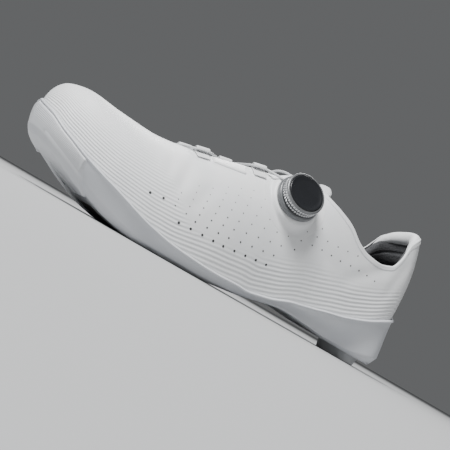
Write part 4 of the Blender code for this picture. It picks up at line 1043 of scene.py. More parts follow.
def upper_grid():
    """Points and normals of the upper's outside up to its cut edge, a column for each station."""
    angle = EDGE_ANGLE[:, None] * ROW_SHARES
    points = section_point(UPPER_AT[:, None], UPPER_SIDE[:, None], angle)
    normal = grid_normals(points)
    ends = (0, UPPER_HALF)
    for column in ends:
        normal[column, :, 0] = 0
    normal[~OPEN, -1, 0] = 0
    normal[THROAT_COLUMN, -1, 0] = 0
    normal[UPPER_COLUMNS - THROAT_COLUMN, -1, 0] = 0
    normal[UPPER_HALF, -1] = normal[UPPER_HALF, -2]
    normal /= np.linalg.norm(normal, axis=-1, keepdims=True)
    return points, normal


# %% Finishes of the upper
upper_finish = new_finish("upper_white", (0.80, 0.81, 0.82), 0.5, Coat_Weight=0.08, Coat_Roughness=0.4)
lining_finish = new_finish("lining_dark", (0.07, 0.072, 0.078), 0.95, Sheen_Weight=0.15, Sheen_Roughness=0.5)


def dress_upper(finish):
    _, cycles = surface_axes(finish)
    band = node(finish, "ShaderNodeAttribute", attribute_name="ridge_band").outputs["Fac"]
    hem_and_painted_shade = node(finish, "ShaderNodeAttribute", attribute_name="hem_and_painted_shade").outputs["Fac"]
    ridges = math_step(finish, "MULTIPLY", wave(finish, cycles, 2 * math.pi), band)
    # The tint darkens along a thin line beside the hem: painted shade, not a mark of the material.
    shade = math_step(finish, "SUBTRACT", mottle(finish, 35, 3), math_step(finish, "MULTIPLY", hem_and_painted_shade, 3.0))
    tint(finish, shade, (0.775, 0.790, 0.802), (0.83, 0.838, 0.843))
    gloss(finish, mottle(finish, 90, 4, 0.44, 0.56))
    bumps(finish, (ridges, 0.45, 0.00014), (noise(finish, 2600, 3), 0.35, 0.00008),
          (noise(finish, 420, 2), 0.12, 0.0001))


def dress_lining(finish):
    weave = node(finish, "ShaderNodeTexVoronoi")
    weave.inputs["Scale"].default_value = 900
    wire(finish, shoe_coordinates(finish), weave.inputs["Vector"])
    tint(finish, weave.outputs["Distance"], (0.10, 0.102, 0.108), (0.045, 0.046, 0.05))
    bumps(finish, (weave.outputs["Distance"], 0.5, 0.0003))


dress_upper(upper_finish)
dress_lining(lining_finish)

# %% [markdown]
# The upper's lower part is moulded in fine ridges that follow the sole, closer together at the toe.
# The leather also bends in a few soft creases. Both are pressed into the grid as real relief, each
# crease from its own place and reach on this shoe, and a thin hem runs along the cut edge. Next to
# the hem, a thin dark line is put into the colour only: painted shade of a gap beside the hem.

# %% Ridges, creases, hem and the painted shade line beside it
Ridges = namedtuple("Ridges", "at full gone")
RIDGE_BAND = [
    Ridges(0.00, 12, 24),
    Ridges(0.20, 14, 26),
    Ridges(0.36, 18, 32),
    Ridges(0.50, 10, 22),
    Ridges(0.64, 8, 18),
    Ridges(0.74, 22, 38),
    Ridges(0.84, 32, 52),
    Ridges(1.00, 40, 60),
]
band_full = along(RIDGE_BAND, lambda row: row.full * MM)
band_gone = along(RIDGE_BAND, lambda row: row.gone * MM)

Pitch = namedtuple("Pitch", "at pitch")
RIDGE_PITCH = [
    Pitch(0.00, 2.5),
    Pitch(0.30, 2.9),
    Pitch(0.55, 2.9),
    Pitch(0.70, 2.3),
    Pitch(0.85, 1.8),
    Pitch(1.00, 1.6),
]
RIDGE_CLIMB = 0.08
RIDGE_HEIGHT = 0.10 * MM
ridge_pitch = along(RIDGE_PITCH, lambda row: row.pitch * MM)

Crease = namedtuple("Crease", "y_low girth_low y_high girth_high width depth")
CREASES = [
    Crease(213, 30, 209, 64, 3.2, 0.30),
    Crease(204, 28, 197, 58, 3.6, 0.42),
    Crease(191, 24, 181, 46, 4.2, 0.34),
    Crease(104, 48, 84, 30, 4.0, 0.34),
    Crease(66, 24, 38, 38, 5.0, 0.38),
    Crease(32, 14, 22, 40, 4.5, 0.30),
]
HEM_WIDTH = 2.4 * MM
HEM_RAISE = 0.3 * MM
# Width of the painted shade line beside the hem.
HEM_SHADE_WIDTH = 0.35 * MM


def crease_relief(y, girth):
    """Soft troughs with a low ridge on both sides, where the leather bends."""
    relief = np.zeros_like(girth)
    for crease in CREASES:
        start = np.array([crease.y_low, crease.girth_low]) * MM
        run = np.array([crease.y_high, crease.girth_high]) * MM - start
        t = ((y - start[0]) * run[0] + (girth - start[1]) * run[1]) / (run @ run)
        fade = smooth_step(t, -0.25, 0.2) * (1 - smooth_step(t, 0.8, 1.25))
        aside = np.abs((y - start[0]) * run[1] - (girth - start[1]) * run[0]) / np.linalg.norm(run)
        width = crease.width * MM
        trough = np.exp(-(aside / width) ** 2) - 0.4 * np.exp(-((aside - 1.7 * width) / width) ** 2)
        relief -= crease.depth * MM * trough * fade
    return relief


# %% Build the upper
def tuck_ring(inset_more):
    at = UPPER_AT
    side = UPPER_SIDE
    tuck = tuck_depth(at, side) - CLEAR
    return ring(upper_inset(at, side, tuck) + inset_more, lip_height(at, side) - tuck, at, side)


def rim_points(edge, normal, inward):
    """Half circle over the cut edge, from its outside to its inside."""
    twin = UPPER_COLUMNS - THROAT_COLUMN
    loop = np.concatenate([np.arange(THROAT_COLUMN + 1), np.arange(twin + 1, UPPER_COLUMNS)])
    travel = np.zeros_like(edge)
    travel[loop] = np.roll(edge[loop], -1, axis=0) - np.roll(edge[loop], 1, axis=0)
    out = unit(np.cross(normal, travel))
    out *= np.sign(np.sum(out * -inward, axis=-1, keepdims=True))
    out[twin] = out[THROAT_COLUMN]
    turns = np.linspace(0, math.pi, RIM_ROWS + 2)[1:-1]
    arcs = [normal * math.cos(turn) + out * math.sin(turn) - normal for turn in turns]
    return np.stack([edge + arc * WALL / 2 for arc in arcs], axis=1)


def make_upper():
    points, normal = upper_grid()
    girth = np.concatenate([np.zeros((UPPER_COLUMNS, 1)), np.cumsum(
        np.linalg.norm(np.diff(points, axis=1), axis=-1), axis=1)], axis=1)
    length_at = (UPPER_AT * LENGTH)[:, None] * np.ones_like(girth)
    band = 1 - smooth_step(girth, band_full(UPPER_AT)[:, None], band_gone(UPPER_AT)[:, None])
    cycles = (girth + RIDGE_CLIMB * length_at) / ridge_pitch(UPPER_AT)[:, None]
    to_edge = girth[:, -1:] - girth
    hem_and_painted_shade = (1 - smooth_step(to_edge, HEM_WIDTH * 0.85, HEM_WIDTH * 1.1)) * OPEN[:, None]
    # A thin line just past the hem that only darkens the colour: painted shade of a gap beside the hem.
    groove = np.exp(-((to_edge - HEM_WIDTH * 1.15) / HEM_SHADE_WIDTH) ** 2) * OPEN[:, None]
    relief = RIDGE_HEIGHT * np.sin(2 * math.pi * cycles) * band * smooth_step(girth, 0.5 * MM, 2 * MM)
    relief += HEM_RAISE * hem_and_painted_shade + crease_relief(length_at, girth)
    relief *= np.where(OPEN[:, None], 1, smooth_step(to_edge, 0, 7 * MM))
    points = points + normal * relief[..., None]
    inner_pick = np.round(np.linspace(OUTER_ROWS - 1, 0, INNER_ROWS)).astype(int)
    inside = points[:, inner_pick] - normal[:, inner_pick] * WALL
    rim = rim_points(points[:, -1], normal[:, -1], points[:, -3] - points[:, -1])
    low_out = tuck_ring(0)[:, None]
    low_in = tuck_ring(WALL)[:, None]
    grid = np.concatenate([low_out, points, rim, inside, low_in], axis=1)
    rows = grid.shape[1]
    rim_rows = range(OUTER_ROWS, OUTER_ROWS + RIM_ROWS + 1)
    field = np.zeros((UPPER_COLUMNS, rows))
    field[:, 1:OUTER_ROWS + 1] = band
    line = np.zeros((UPPER_COLUMNS, rows))
    line[:, 1:OUTER_ROWS + 1] = groove
    uv = np.zeros((UPPER_COLUMNS, rows, 2))
    uv[..., 0] = UPPER_AT[:, None] * LENGTH
    uv[:, 1:OUTER_ROWS + 1, 1] = cycles
    uv[:, OUTER_ROWS + 1:, 1] = cycles[:, -1:]
    faces = []
    slots = []
    for c in range(UPPER_COLUMNS):
        d = (c + 1) % UPPER_COLUMNS
        for r in range(rows):
            q = (r + 1) % rows
            if r in rim_rows and not (OPEN[c] and OPEN[d]):
                continue
            faces.append((c * rows + r, d * rows + r, d * rows + q, c * rows + q))
            slots.append(1 if r > OUTER_ROWS + RIM_ROWS - 2 else 0)
    return new_piece("upper_shell", grid.reshape(-1, 3), faces, [upper_finish, lining_finish], slots,
                     {"ridge_band": field.ravel(), "hem_and_painted_shade": line.ravel()}, uv.reshape(-1, 2), 0.000004)


upper = make_upper()
finished(upper, "upper", "upper")

# %% The finished skin, to lay other pieces on
UPPER_SKIN = BVHTree.FromPolygons([vert.co.copy() for vert in upper.data.vertices],
                                  [tuple(face.vertices) for face in upper.data.polygons])


def on_skin(point, outward):
    """Nearest place on the upper's outside, and its normal."""
    near, normal, _, _ = UPPER_SKIN.find_nearest(Vector(point) + Vector(SHIFT) + Vector(outward) * MM)
    return np.array(near) - SHIFT, np.array(normal)


# %% [markdown]
# The collar is padded inside. The pad is a closed form between the shell's inner wall and a surface
# that swells towards the foot, and it thins to nothing at all its borders, as a sewn pad does. No
# cloth simulation is needed for a pad this thin: its swelling is a plain dome.

# %% Collar pad
COLLAR_END = 0.315
COLLAR_DEPTH = 0.46
COLLAR_SWELL = 4.2 * MM
COLLAR_ROWS = 34


def columns_behind(station):
    """The upper's columns round the heel, from one side to the other."""
    count = int(np.searchsorted(HALF_STATIONS, station))
    return np.concatenate([np.arange(UPPER_COLUMNS - count, UPPER_COLUMNS), np.arange(0, count + 1)])


def make_collar_pad():
    columns = columns_behind(COLLAR_END)
    down = np.linspace(0, 1, COLLAR_ROWS)
    share = 0.985 - COLLAR_DEPTH * down
    angle = EDGE_ANGLE[columns, None] * share
    skin = section_point(UPPER_AT[columns, None], UPPER_SIDE[columns, None], angle)
    normal = away_from_middle(sheet_normals(skin), skin)
    ends = np.linspace(-1, 1, len(columns))
    ends_fade = np.sqrt(np.clip(1 - np.abs(ends) ** 6, 0, 1))
    dome = np.sqrt(np.clip(1 - (2 * down - 1) ** 2, 0, 1)) * (1 - 0.35 * down)
    channel = 0.5 * MM * np.exp(-((down - 0.62) / 0.05) ** 2)
    swell = ends_fade[:, None] * (COLLAR_SWELL * dome - channel)[None, :]
    outer = skin - normal * (WALL + 0.1 * MM)
    inner = outer - normal * np.maximum(swell, 0.05 * MM)[..., None]
    return new_piece("collar_pad", *closed_sheet(inner, outer), lining_finish)


collar_pad = make_collar_pad()
finished(collar_pad, "upper")

# %% [markdown]
# The heel tab ends in a soft padded roll: ovals are lofted along the cut edge and die out on both
# sides. Further down, a thin dark lining covers the step between the upper's wall and the insole.

# %% Padded roll over the heel tab
ROLL_END = 0.085
ROLL_HALF_HEIGHT = 5.0 * MM
ROLL_HALF_THICKNESS = 4.2 * MM
ROLL_SINK = 2.0 * MM


def make_heel_roll():
    columns = columns_behind(ROLL_END)
    points, normals = upper_grid()
    ends = np.linspace(-1, 1, len(columns))
    full = np.sqrt(np.clip(1 - np.abs(ends) ** 3, 0, 1))
    turns = np.linspace(0, 2 * math.pi, 33)[:-1]
    loops = []
    for column, fill in zip(columns, full):
        edge = points[column, -1]
        climb = edge - points[column, -4]
        climb = climb / np.linalg.norm(climb)
        out = normals[column, -1]
        half = max(ROLL_HALF_THICKNESS * fill, 0.4 * MM)
        tall = ROLL_HALF_HEIGHT * (0.35 + 0.65 * fill)
        centre = edge - out * (half - HEM_RAISE * fill - 0.1 * MM) - climb * ROLL_SINK
        loops.append([centre + out * half * math.cos(turn) + climb * tall * math.sin(turn) for turn in turns])
    faces = capped_faces(len(loops), len(turns))
    return new_piece("heel_tab_roll", np.array(loops).reshape(-1, 3), faces, binding_finish)


binding_finish = new_finish("binding_white", (0.80, 0.81, 0.815), 0.6, Sheen_Weight=0.2, Sheen_Roughness=0.4)
tint(binding_finish, mottle(binding_finish, 60, 3), (0.77, 0.78, 0.79),
     (0.82, 0.828, 0.835))
bumps(binding_finish, (noise(binding_finish, 2400, 3), 0.45, 0.0001))
heel_roll = make_heel_roll()
finished(heel_roll, "upper")

# %% Sock lining between the upper and the insole
SOCK_THICKNESS = 0.4 * MM


def make_sock():
    lip = lip_height(AT, SIDE)
    tuck = tuck_depth(AT, SIDE)
    top_inset = upper_inset(AT, SIDE, tuck) + WALL + 1.6 * CLEAR
    floor_inset = inner_inset(AT, SIDE, lip - floor_height(AT)) + RIM * 0.3 + 0.3 * MM
    low_inset = np.maximum(top_inset + 1.0 * MM, floor_inset)
    top = lip - tuck + 1.5 * MM
    low = np.minimum(floor_height(AT) + 1.2 * MM, lip - tuck)
    outside = [(top_inset, top), (low_inset, low)]
    inside = [(low_inset + SOCK_THICKNESS, low), (top_inset + SOCK_THICKNESS, top)]
    loops = [ring(inset, height) for inset, height in outside + inside + outside[:1]]
    faces = grid_faces(len(loops), SOLE_COLUMNS, True)
    return new_piece("sock_lining", np.concatenate(loops), faces, lining_finish)


finished(make_sock(), "upper")

# %% [markdown]
# The upper breathes through laser cut holes in slanted columns, largest in the lowest row. They are
# repeated with Geometry Nodes: a mesh of loose points carries each hole's direction and size, and
# the tree puts a small dark plug on every point. The plug's near black is painted shade: it stands
# for the shadow inside each hole, with the dark lining seen through it. Cutting so many real holes
# would cost many triangles for the same look.

# %% A tree that repeats a small shape on points
def add_input(tree, name, kind, default=None):
    made = tree.interface.new_socket(name=name, in_out="INPUT", socket_type=kind)
    if default is not None:
        made.default_value = default


def named_value(tree, name, kind):
    reader = tree.nodes.new("GeometryNodeInputNamedAttribute")
    reader.data_type = kind
    reader.inputs["Name"].default_value = name
    return reader.outputs["Attribute"]


def plug_shape(tree, given):
    """Flat cone of radius 1."""
    cone = tree.nodes.new("GeometryNodeMeshCone")
    tree.links.new(given.outputs["Sides"], cone.inputs["Vertices"])
    tree.links.new(given.outputs["Depth"], cone.inputs["Depth"])
    cone.inputs["Radius Top"].default_value = 0.86
    cone.inputs["Radius Bottom"].default_value = 1.0
    return cone.outputs["Mesh"]


def bead_shape(tree, given):
    """Ball of radius 1, made long or flat by each point's size."""
    ball = tree.nodes.new("GeometryNodeMeshUVSphere")
    tree.links.new(given.outputs["Sides"], ball.inputs["Segments"])
    ball.inputs["Rings"].default_value = 6
    ball.inputs["Radius"].default_value = 1.0
    return ball.outputs["Mesh"]


def repeat_tree(name, finish, shape):
    tree = bpy.data.node_groups.new(name, "GeometryNodeTree")
    tree.interface.new_socket(name="Geometry", in_out="OUTPUT", socket_type="NodeSocketGeometry")
    add_input(tree, "Points", "NodeSocketGeometry")
    add_input(tree, "Sides", "NodeSocketInt", 12)
    add_input(tree, "Depth", "NodeSocketFloat", 0.16)
    nodes = tree.nodes
    links = tree.links
    given = nodes.new("NodeGroupInput")
    stand = nodes.new("FunctionNodeAlignRotationToVector")
    stand.axis = "Z"
    links.new(named_value(tree, "facing", "FLOAT_VECTOR"), stand.inputs["Vector"])
    turn = nodes.new("FunctionNodeAlignRotationToVector")
    turn.axis = "X"
    turn.pivot_axis = "Z"
    links.new(stand.outputs["Rotation"], turn.inputs["Rotation"])
    links.new(named_value(tree, "lengthwise", "FLOAT_VECTOR"), turn.inputs["Vector"])
    place = nodes.new("GeometryNodeInstanceOnPoints")
    links.new(given.outputs["Points"], place.inputs["Points"])
    links.new(shape(tree, given), place.inputs["Instance"])
    links.new(turn.outputs["Rotation"], place.inputs["Rotation"])
    links.new(named_value(tree, "size", "FLOAT_VECTOR"), place.inputs["Scale"])
    real = nodes.new("GeometryNodeRealizeInstances")
    links.new(place.outputs["Instances"], real.inputs["Geometry"])
    paint = nodes.new("GeometryNodeSetMaterial")
    paint.inputs["Material"].default_value = finish
    links.new(real.outputs["Geometry"], paint.inputs["Geometry"])
    result = nodes.new("NodeGroupOutput")
    links.new(paint.outputs["Geometry"], result.inputs["Geometry"])
    return tree


def set_input(modifier, tree, name, value):
    for item in tree.interface.items_tree:
        if item.item_type == "SOCKET" and item.in_out == "INPUT" and item.name == name:
            modifier[item.identifier] = value


def repeat_on(name, tree, spots, facings, lengthwise, sizes, **inputs):
    """Points with two directions and a size, run through a tree and made a plain mesh."""
    mesh = bpy.data.meshes.new(name)
    mesh.from_pydata([tuple(np.array(spot) + SHIFT) for spot in spots], [], [])
    for field, values in (("facing", facings), ("lengthwise", lengthwise), ("size", sizes)):
        layer = mesh.attributes.new(field, "FLOAT_VECTOR", "POINT")
        layer.data.foreach_set("vector", np.asarray(values, np.float32).ravel())
    thing = bpy.data.objects.new(name, mesh)
    bpy.context.scene.collection.objects.link(thing)
    step = thing.modifiers.new("repeat", "NODES")
    step.node_group = tree
    for label, value in inputs.items():
        set_input(step, tree, label, value)
    applied(thing)
    print(name, len(spots), "repeats")
    return thing


# %% Perforations: columns along the shoe, heights measured over the surface from the lip
Holes = namedtuple("Holes", "y low count pitch lean large small")
PERFORATIONS = [
    Holes(218.7, 13.0, 1, 0.0, 0.00, 1.50, 1.50),
    Holes(210.0, 17.0, 1, 0.0, 0.00, 1.40, 1.40),
    Holes(201.6, 18.0, 3, 4.6, 0.05, 0.75, 0.55),
    Holes(195.0, 12.0, 1, 0.0, 0.00, 1.55, 1.55),
    Holes(193.2, 18.9, 5, 5.0, 0.08, 0.80, 0.50),
    Holes(186.3, 13.0, 7, 5.1, 0.14, 1.45, 0.50),
    Holes(177.6, 14.2, 8, 5.2, 0.15, 1.45, 0.50),
    Holes(169.1, 14.9, 8, 5.7, 0.15, 1.50, 0.50),
    Holes(160.9, 15.5, 8, 6.1, 0.16, 1.50, 0.50),
    Holes(152.0, 16.5, 7, 6.6, 0.18, 1.50, 0.55),
    Holes(143.2, 17.1, 6, 7.0, 0.21, 1.45, 0.60),
    Holes(134.6, 18.3, 5, 7.4, 0.26, 1.45, 0.65),
    Holes(125.9, 18.6, 5, 7.3, 0.27, 1.45, 0.65),
    Holes(111.9, 33.6, 3, 6.8, 0.24, 1.00, 0.70),
    Holes(101.4, 38.8, 3, 6.1, 0.16, 0.90, 0.70),
    Holes(93.1, 37.5, 2, 6.5, 0.12, 0.95, 0.80),
    Holes(85.2, 36.0, 2, 6.8, 0.25, 0.95, 0.80),
    Holes(77.1, 34.3, 2, 7.6, 0.25, 0.95, 0.80),
    Holes(68.3, 33.1, 2, 7.8, 0.24, 0.95, 0.80),
    Holes(60.3, 31.8, 1, 0.0, 0.00, 0.95, 0.95),
    Holes(52.5, 30.2, 1, 0.0, 0.00, 0.95, 0.95),
    Holes(44.9, 27.4, 1, 0.0, 0.00, 0.90, 0.90),
]
HOLE_LIFT = 0.03 * MM
HOLE_GROWTH = 1.15
HOLE_EDGE_GAP = 0.05


def girth_to_angle(at, side, girth):
    """Section angle at a distance over the surface from the lip."""
    angle = np.linspace(0, math.pi / 2, 240)
    line = section_point(np.full(240, at), np.full(240, side), angle)
    walked = np.concatenate([[0], np.cumsum(np.linalg.norm(np.diff(line, axis=0), axis=1))])
    return float(np.interp(girth, walked, angle))


def edge_limit(at, side):
    half = EDGE_ANGLE[:UPPER_HALF + 1] if side > 0 else np.roll(EDGE_ANGLE[::-1], 1)[:UPPER_HALF + 1]
    return float(np.interp(at, HALF_STATIONS, half))


def perforation_spots(side):
    spots = []
    facings = []
    sizes = []
    for row in PERFORATIONS:
        for k in range(row.count):
            share = k / max(row.count - 1, 1)
            girth = (row.low + k * row.pitch) * MM
            at = (row.y - k * row.pitch * row.lean) * MM / LENGTH
            angle = girth_to_angle(at, side, girth)
            if angle > edge_limit(at, side) - HOLE_EDGE_GAP:
                continue
            where = (np.array([at]), np.array([side]), np.array([angle]))
            point, normal = on_skin(section_point(*where)[0], section_normal(*where)[0])
            radius = (row.large + (row.small - row.large) * share ** 0.45) * HOLE_GROWTH * MM / 2
            spots.append(point + normal * HOLE_LIFT)
            facings.append(normal)
            sizes.append((radius, radius, radius))
    return spots, facings, sizes


def section_normal(at, side, angle):
    step_at = 0.002
    step_angle = 0.01
    travel = section_point(at + step_at, side, angle) - section_point(at - step_at, side, angle)
    climb = section_point(at, side, angle + step_angle) - section_point(at, side, angle - step_angle)
    return unit(np.cross(climb, travel) * np.asarray(side)[..., None])


# Painted shade: the near black of a hole's inside, with the dark lining behind it.
hole_finish = new_finish("hole_dark", (0.035, 0.036, 0.038), 0.9)
bumps(hole_finish, (noise(hole_finish, 3000, 2), 0.4, 0.0001))


def make_perforations():
    tree = repeat_tree("plugs_on_points", hole_finish, plug_shape)
    for name, side in (("lateral", 1), ("medial", -1)):
        spots, facings, sizes = perforation_spots(side)
        ahead = [(0, 1, 0)] * len(spots)
        holes = repeat_on("perforations_" + name, tree, spots, facings, ahead, sizes, Sides=14, Depth=0.16)
        finished(holes, "upper")


make_perforations()

# %% [markdown]
# The toe bumper is a raised rubbery pad over the toe of the sole. It could be cut out of a second,
# grown sole, but then its edge is a hard step. Here a fine sheet repeats the sole's own surface and
# is lifted by its distance from the pad's outline, so the edge swells up softly and ends in a
# narrow bead.

# %% Toe bumper
BUMPER_EDGE = [(0.60, 0.897), (0.305, 0.893), (0.262, 0.850), (-0.030, 0.842), (-0.090, 0.862),
               (-0.190, 0.913), (-0.260, 0.940), (-0.420, 0.908), (-0.75, 0.900), (-0.75, 1.05), (0.60, 1.05)]
BUMPER_CORNER = 2.5 * MM
BUMPER_SOFT = 1.9 * MM
BUMPER_FROM = 0.832
BUMPER_COLUMNS = 110
BUMPER_OVERLAP = 0.9 * MM
BUMPER_FLANK_ROWS = 50
BUMPER_RIBS = 10
BUMPER_RIB_HEIGHT = 0.09 * MM
BUMPER_SKIN = 0.7 * MM
BEAD_HEIGHT = 0.45 * MM
BEAD_FROM_EDGE = 1.2 * MM
BEAD_WIDTH = 0.7 * MM
GROOVE_DEPTH = 1.0 * MM


def distance_inside(points, outline):
    """Signed distance in plan, in metres: positive inside the outline."""
    corners = np.array(outline)
    ends = np.roll(corners, -1, axis=0)
    best = np.full(len(points), 1e9)
    inside = np.zeros(len(points), bool)
    for a, b in zip(corners, ends):
        run = b - a
        t = np.clip(((points - a) @ run) / max(run @ run, 1e-12), 0, 1)
        best = np.minimum(best, np.linalg.norm(points - (a + t[:, None] * run), axis=1))
        crosses = (a[1] > points[:, 1]) != (b[1] > points[:, 1])
        at_x = a[0] + (points[:, 1] - a[1]) * run[0] / (run[1] if abs(run[1]) > 1e-12 else 1e-12)
        inside ^= crosses & (points[:, 0] < at_x)
    return np.where(inside, best, -best)


def bumper_stations():
    turn_from = float(end_angle(BUMPER_FROM))
    half = (1 - np.cos(np.linspace(turn_from, math.pi, BUMPER_COLUMNS))) / 2
    at = np.concatenate([half, half[-2::-1]])
    side = np.concatenate([np.ones(len(half)), -np.ones(len(half) - 1)])
    return at, side


def bumper_grid(at, side):
    """Rows of the toe's outside, from the middle line over the edge and up to the lip's nose."""
    edge = ring(edge_inset(at, side), ground_height(at) + edge_rise(at), at, side)
    other = edge[::-1]
    middle = (edge + other) / 2
    middle[:, 1] = -(BOTTOM_END + at * (LENGTH - 2 * BOTTOM_END))
    rows = []
    for share in bottom_shares(58, 12):
        row = edge + (middle - edge) * share
        if share > 0:
            row[:, 2] = bottom_height(-row[:, 1] / LENGTH, share)
        rows.append(row)
    for share in np.linspace(1, 0, BUMPER_FLANK_ROWS + 1)[1:]:
        rows.append(ring(flank_inset(at, side, share), flank_height(at, side, share), at, side))
    return np.stack(rows, axis=1)


def faces_within(body, corners, margin):
    middles = np.array([face.calc_center_median() for face in body.faces]) - SHIFT
    close = distance_inside(np.column_stack([middles[:, 0], -middles[:, 1]]), corners) > -margin
    return [face for face, chosen in zip(body.faces, close) if chosen]


def open_vent(sheet, corners):
    """Cut the sheet along four upright planes, and delete what lies between them."""
    body = bmesh.new()
    body.from_mesh(sheet.data)
    for first, second in zip(corners, corners[1:] + corners[:1]):
        start = Vector((first[0], -first[1], 0)) + Vector(SHIFT)
        run = Vector((second[0] - first[0], first[1] - second[1], 0)).normalized()
        picked = faces_within(body, corners, 2 * MM)
        edges = {edge for face in picked for edge in face.edges}
        verts = {vert for face in picked for vert in face.verts}
        across = run.cross(Vector((0, 0, 1)))
        bmesh.ops.bisect_plane(body, geom=list(verts) + list(edges) + picked, dist=0.000001,
                               plane_co=start, plane_no=across)
    bmesh.ops.delete(body, geom=faces_within(body, corners, 0), context="FACES")
    body.to_mesh(sheet.data)
    body.free()


def vent_groove(plan):
    """Share of the groove's depth: the outer vent opens into a groove that widens to the rear."""
    tip, base, _ = VENTS["lateral"]
    start = np.array(tip) + np.array((0.4, -0.4)) * MM
    run = np.array(base) - start + np.array((0.5, -3.2)) * MM
    t = np.clip(((plan - start) @ run) / (run @ run), 0, 1)
    away = np.linalg.norm(plan - (start + t[:, None] * run), axis=1)
    wide = (0.8 + 2.9 * t) * MM
    return 1 - smooth_step(away, wide * 0.55, wide * 1.25)


def bumper_lift(plan, inside):
    """Height over the sole: soft at the outline, with a bead, ribs on the flank and the groove."""
    rows = inside.shape[1]
    top_fade = np.clip((rows - 1 - np.arange(rows)) / 4, 0, 1)[None, :]
    bead = BEAD_HEIGHT * np.exp(-((inside - BEAD_FROM_EDGE) / BEAD_WIDTH) ** 2)
    flank = np.clip((np.arange(rows) - (rows - BUMPER_FLANK_ROWS)) / BUMPER_FLANK_ROWS, 0, 1)
    rib_fade = smooth_step(flank, 0.1, 0.3) * (1 - smooth_step(flank, 0.9, 0.97))
    ribs = np.sin(2 * math.pi * BUMPER_RIBS * flank) * rib_fade
    lift = smooth_step(inside, -0.5 * MM, BUMPER_SOFT) * BUMPER_RAISE * 0.92 + bead
    lift = lift + BUMPER_RIB_HEIGHT * ribs[None, :] * smooth_step(inside, 2 * MM, 4.5 * MM)
    sunk_border = 0.4 * MM * (1 - smooth_step(inside, -BUMPER_OVERLAP, 0.6 * MM))
    lift = lift * (0.25 + 0.75 * top_fade) - sunk_border
    return lift - GROOVE_DEPTH * vent_groove(plan).reshape(inside.shape) * (inside > 0)


def make_bumper():
    at, side = bumper_stations()
    grid = bumper_grid(at, side)
    normal = sheet_normals(grid)
    if normal[len(at) // 4, 4, 2] > 0:
        normal = -normal
    columns, rows = grid.shape[:2]
    outline = rounded([(x * BALL_WIDTH, y * LENGTH) for x, y in BUMPER_EDGE], BUMPER_CORNER, 8)
    plan = np.column_stack([grid[..., 0].ravel(), -grid[..., 1].ravel()])
    inside = distance_inside(plan, outline).reshape(columns, rows)
    points = grid + normal * bumper_lift(plan, inside)[..., None]
    keep = inside > -BUMPER_OVERLAP
    faces = []
    for c in range(columns - 1):
        for r in range(rows - 1):
            if keep[c:c + 2, r:r + 2].any():
                faces.append((c * rows + r, (c + 1) * rows + r, (c + 1) * rows + r + 1, c * rows + r + 1))
    piece = new_piece("toe_bumper_pad", points.reshape(-1, 3), faces, bumper_finish, merge=0.00002)
    for vent in VENTS.values():
        open_vent(piece, wedge(*vent))
    down = sum(face.normal.z * face.area for face in piece.data.polygons)
    if down > 0:
        piece.data.flip_normals()
    add_modifier(piece, "SOLIDIFY", thickness=BUMPER_SKIN, offset=-1, use_even_offset=False)
    applied(piece)
    return piece


bumper_finish = new_finish("bumper_white", (0.63, 0.642, 0.665), 0.5, Coat_Weight=0.05, Coat_Roughness=0.4)
bumps(bumper_finish, (noise(bumper_finish, 1500, 2), 0.3, 0.00008),
      (noise(bumper_finish, 260, 2), 0.1, 0.0001))
tint(bumper_finish, mottle(bumper_finish, 30, 3), (0.60, 0.613, 0.64),
     (0.655, 0.667, 0.685))

bumper = make_bumper()
sharpen(bumper, 40)
finished(bumper, "bumper", "toe_bumper")

# %% [markdown]
# The heel lug is an arrow shaped rubber block with a flat tread. It is lofted from its outline in
# thin steps, so that its corners are rounded in both directions.

# %% Heel lug
PAD_CORNERS = [(0.000, 0.148), (0.285, 0.105), (0.270, 0.060), (0.120, 0.043),
               (-0.150, 0.043), (-0.310, 0.058), (-0.350, 0.084)]
PAD_CORNER_RADIUS = 6 * MM
PAD_DRAFT = 0.9 * MM
TREAD_ROUND = 1.0 * MM


def make_heel_lug():
    corners = rounded([(x * HEEL_WIDTH, y * LENGTH) for x, y in PAD_CORNERS], PAD_CORNER_RADIUS, 10)
    levels = []
    for share in np.linspace(0, 1, 7):
        turn = share * math.pi / 2
        levels.append((-PAD_DRAFT - TREAD_ROUND * (1 - math.sin(turn)), TREAD_ROUND * (1 - math.cos(turn))))
    levels.append((0.0, HEEL_PAD_HEIGHT - CLEAR))
    levels.append((0.2 * MM, HEEL_PAD_HEIGHT + 0.6 * MM))
    points = []
    for draft, height in levels:
        points += [(x, -y, height) for x, y in grown(corners, draft)]
    return new_piece("heel_lug", points, capped_faces(len(levels), len(corners)), lug_finish)


lug_finish = new_finish("lug_rubber", (0.62, 0.63, 0.645), 0.62)
lug_patches = remap(lug_finish, noise(lug_finish, 60, 4), 0.35, 0.7, 0, 1)
tint(lug_finish, lug_patches, (0.56, 0.57, 0.585), (0.66, 0.67, 0.685))
bumps(lug_finish, (noise(lug_finish, 1800, 3), 0.5, 0.0001))
heel_lug = make_heel_lug()
sharpen(heel_lug, 35)
finished(heel_lug, "heel_pad", "heel_pad")

# %% [markdown]
# The plate, the nuts and the vent inserts keep their solids, whose shape is right, and only get
# better finishes: a fine dark twill for the plate, grey metal for the nuts, matt black for the vents.

# %% Plate, nuts and vents
def every_slot(node_name, finish):
    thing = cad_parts[node_name]
    for place in thing.material_slots:
        place.material = finish


plate_finish = new_finish("plate_twill", (0.06, 0.06, 0.064), 0.42, Coat_Weight=0.25, Coat_Roughness=0.3)


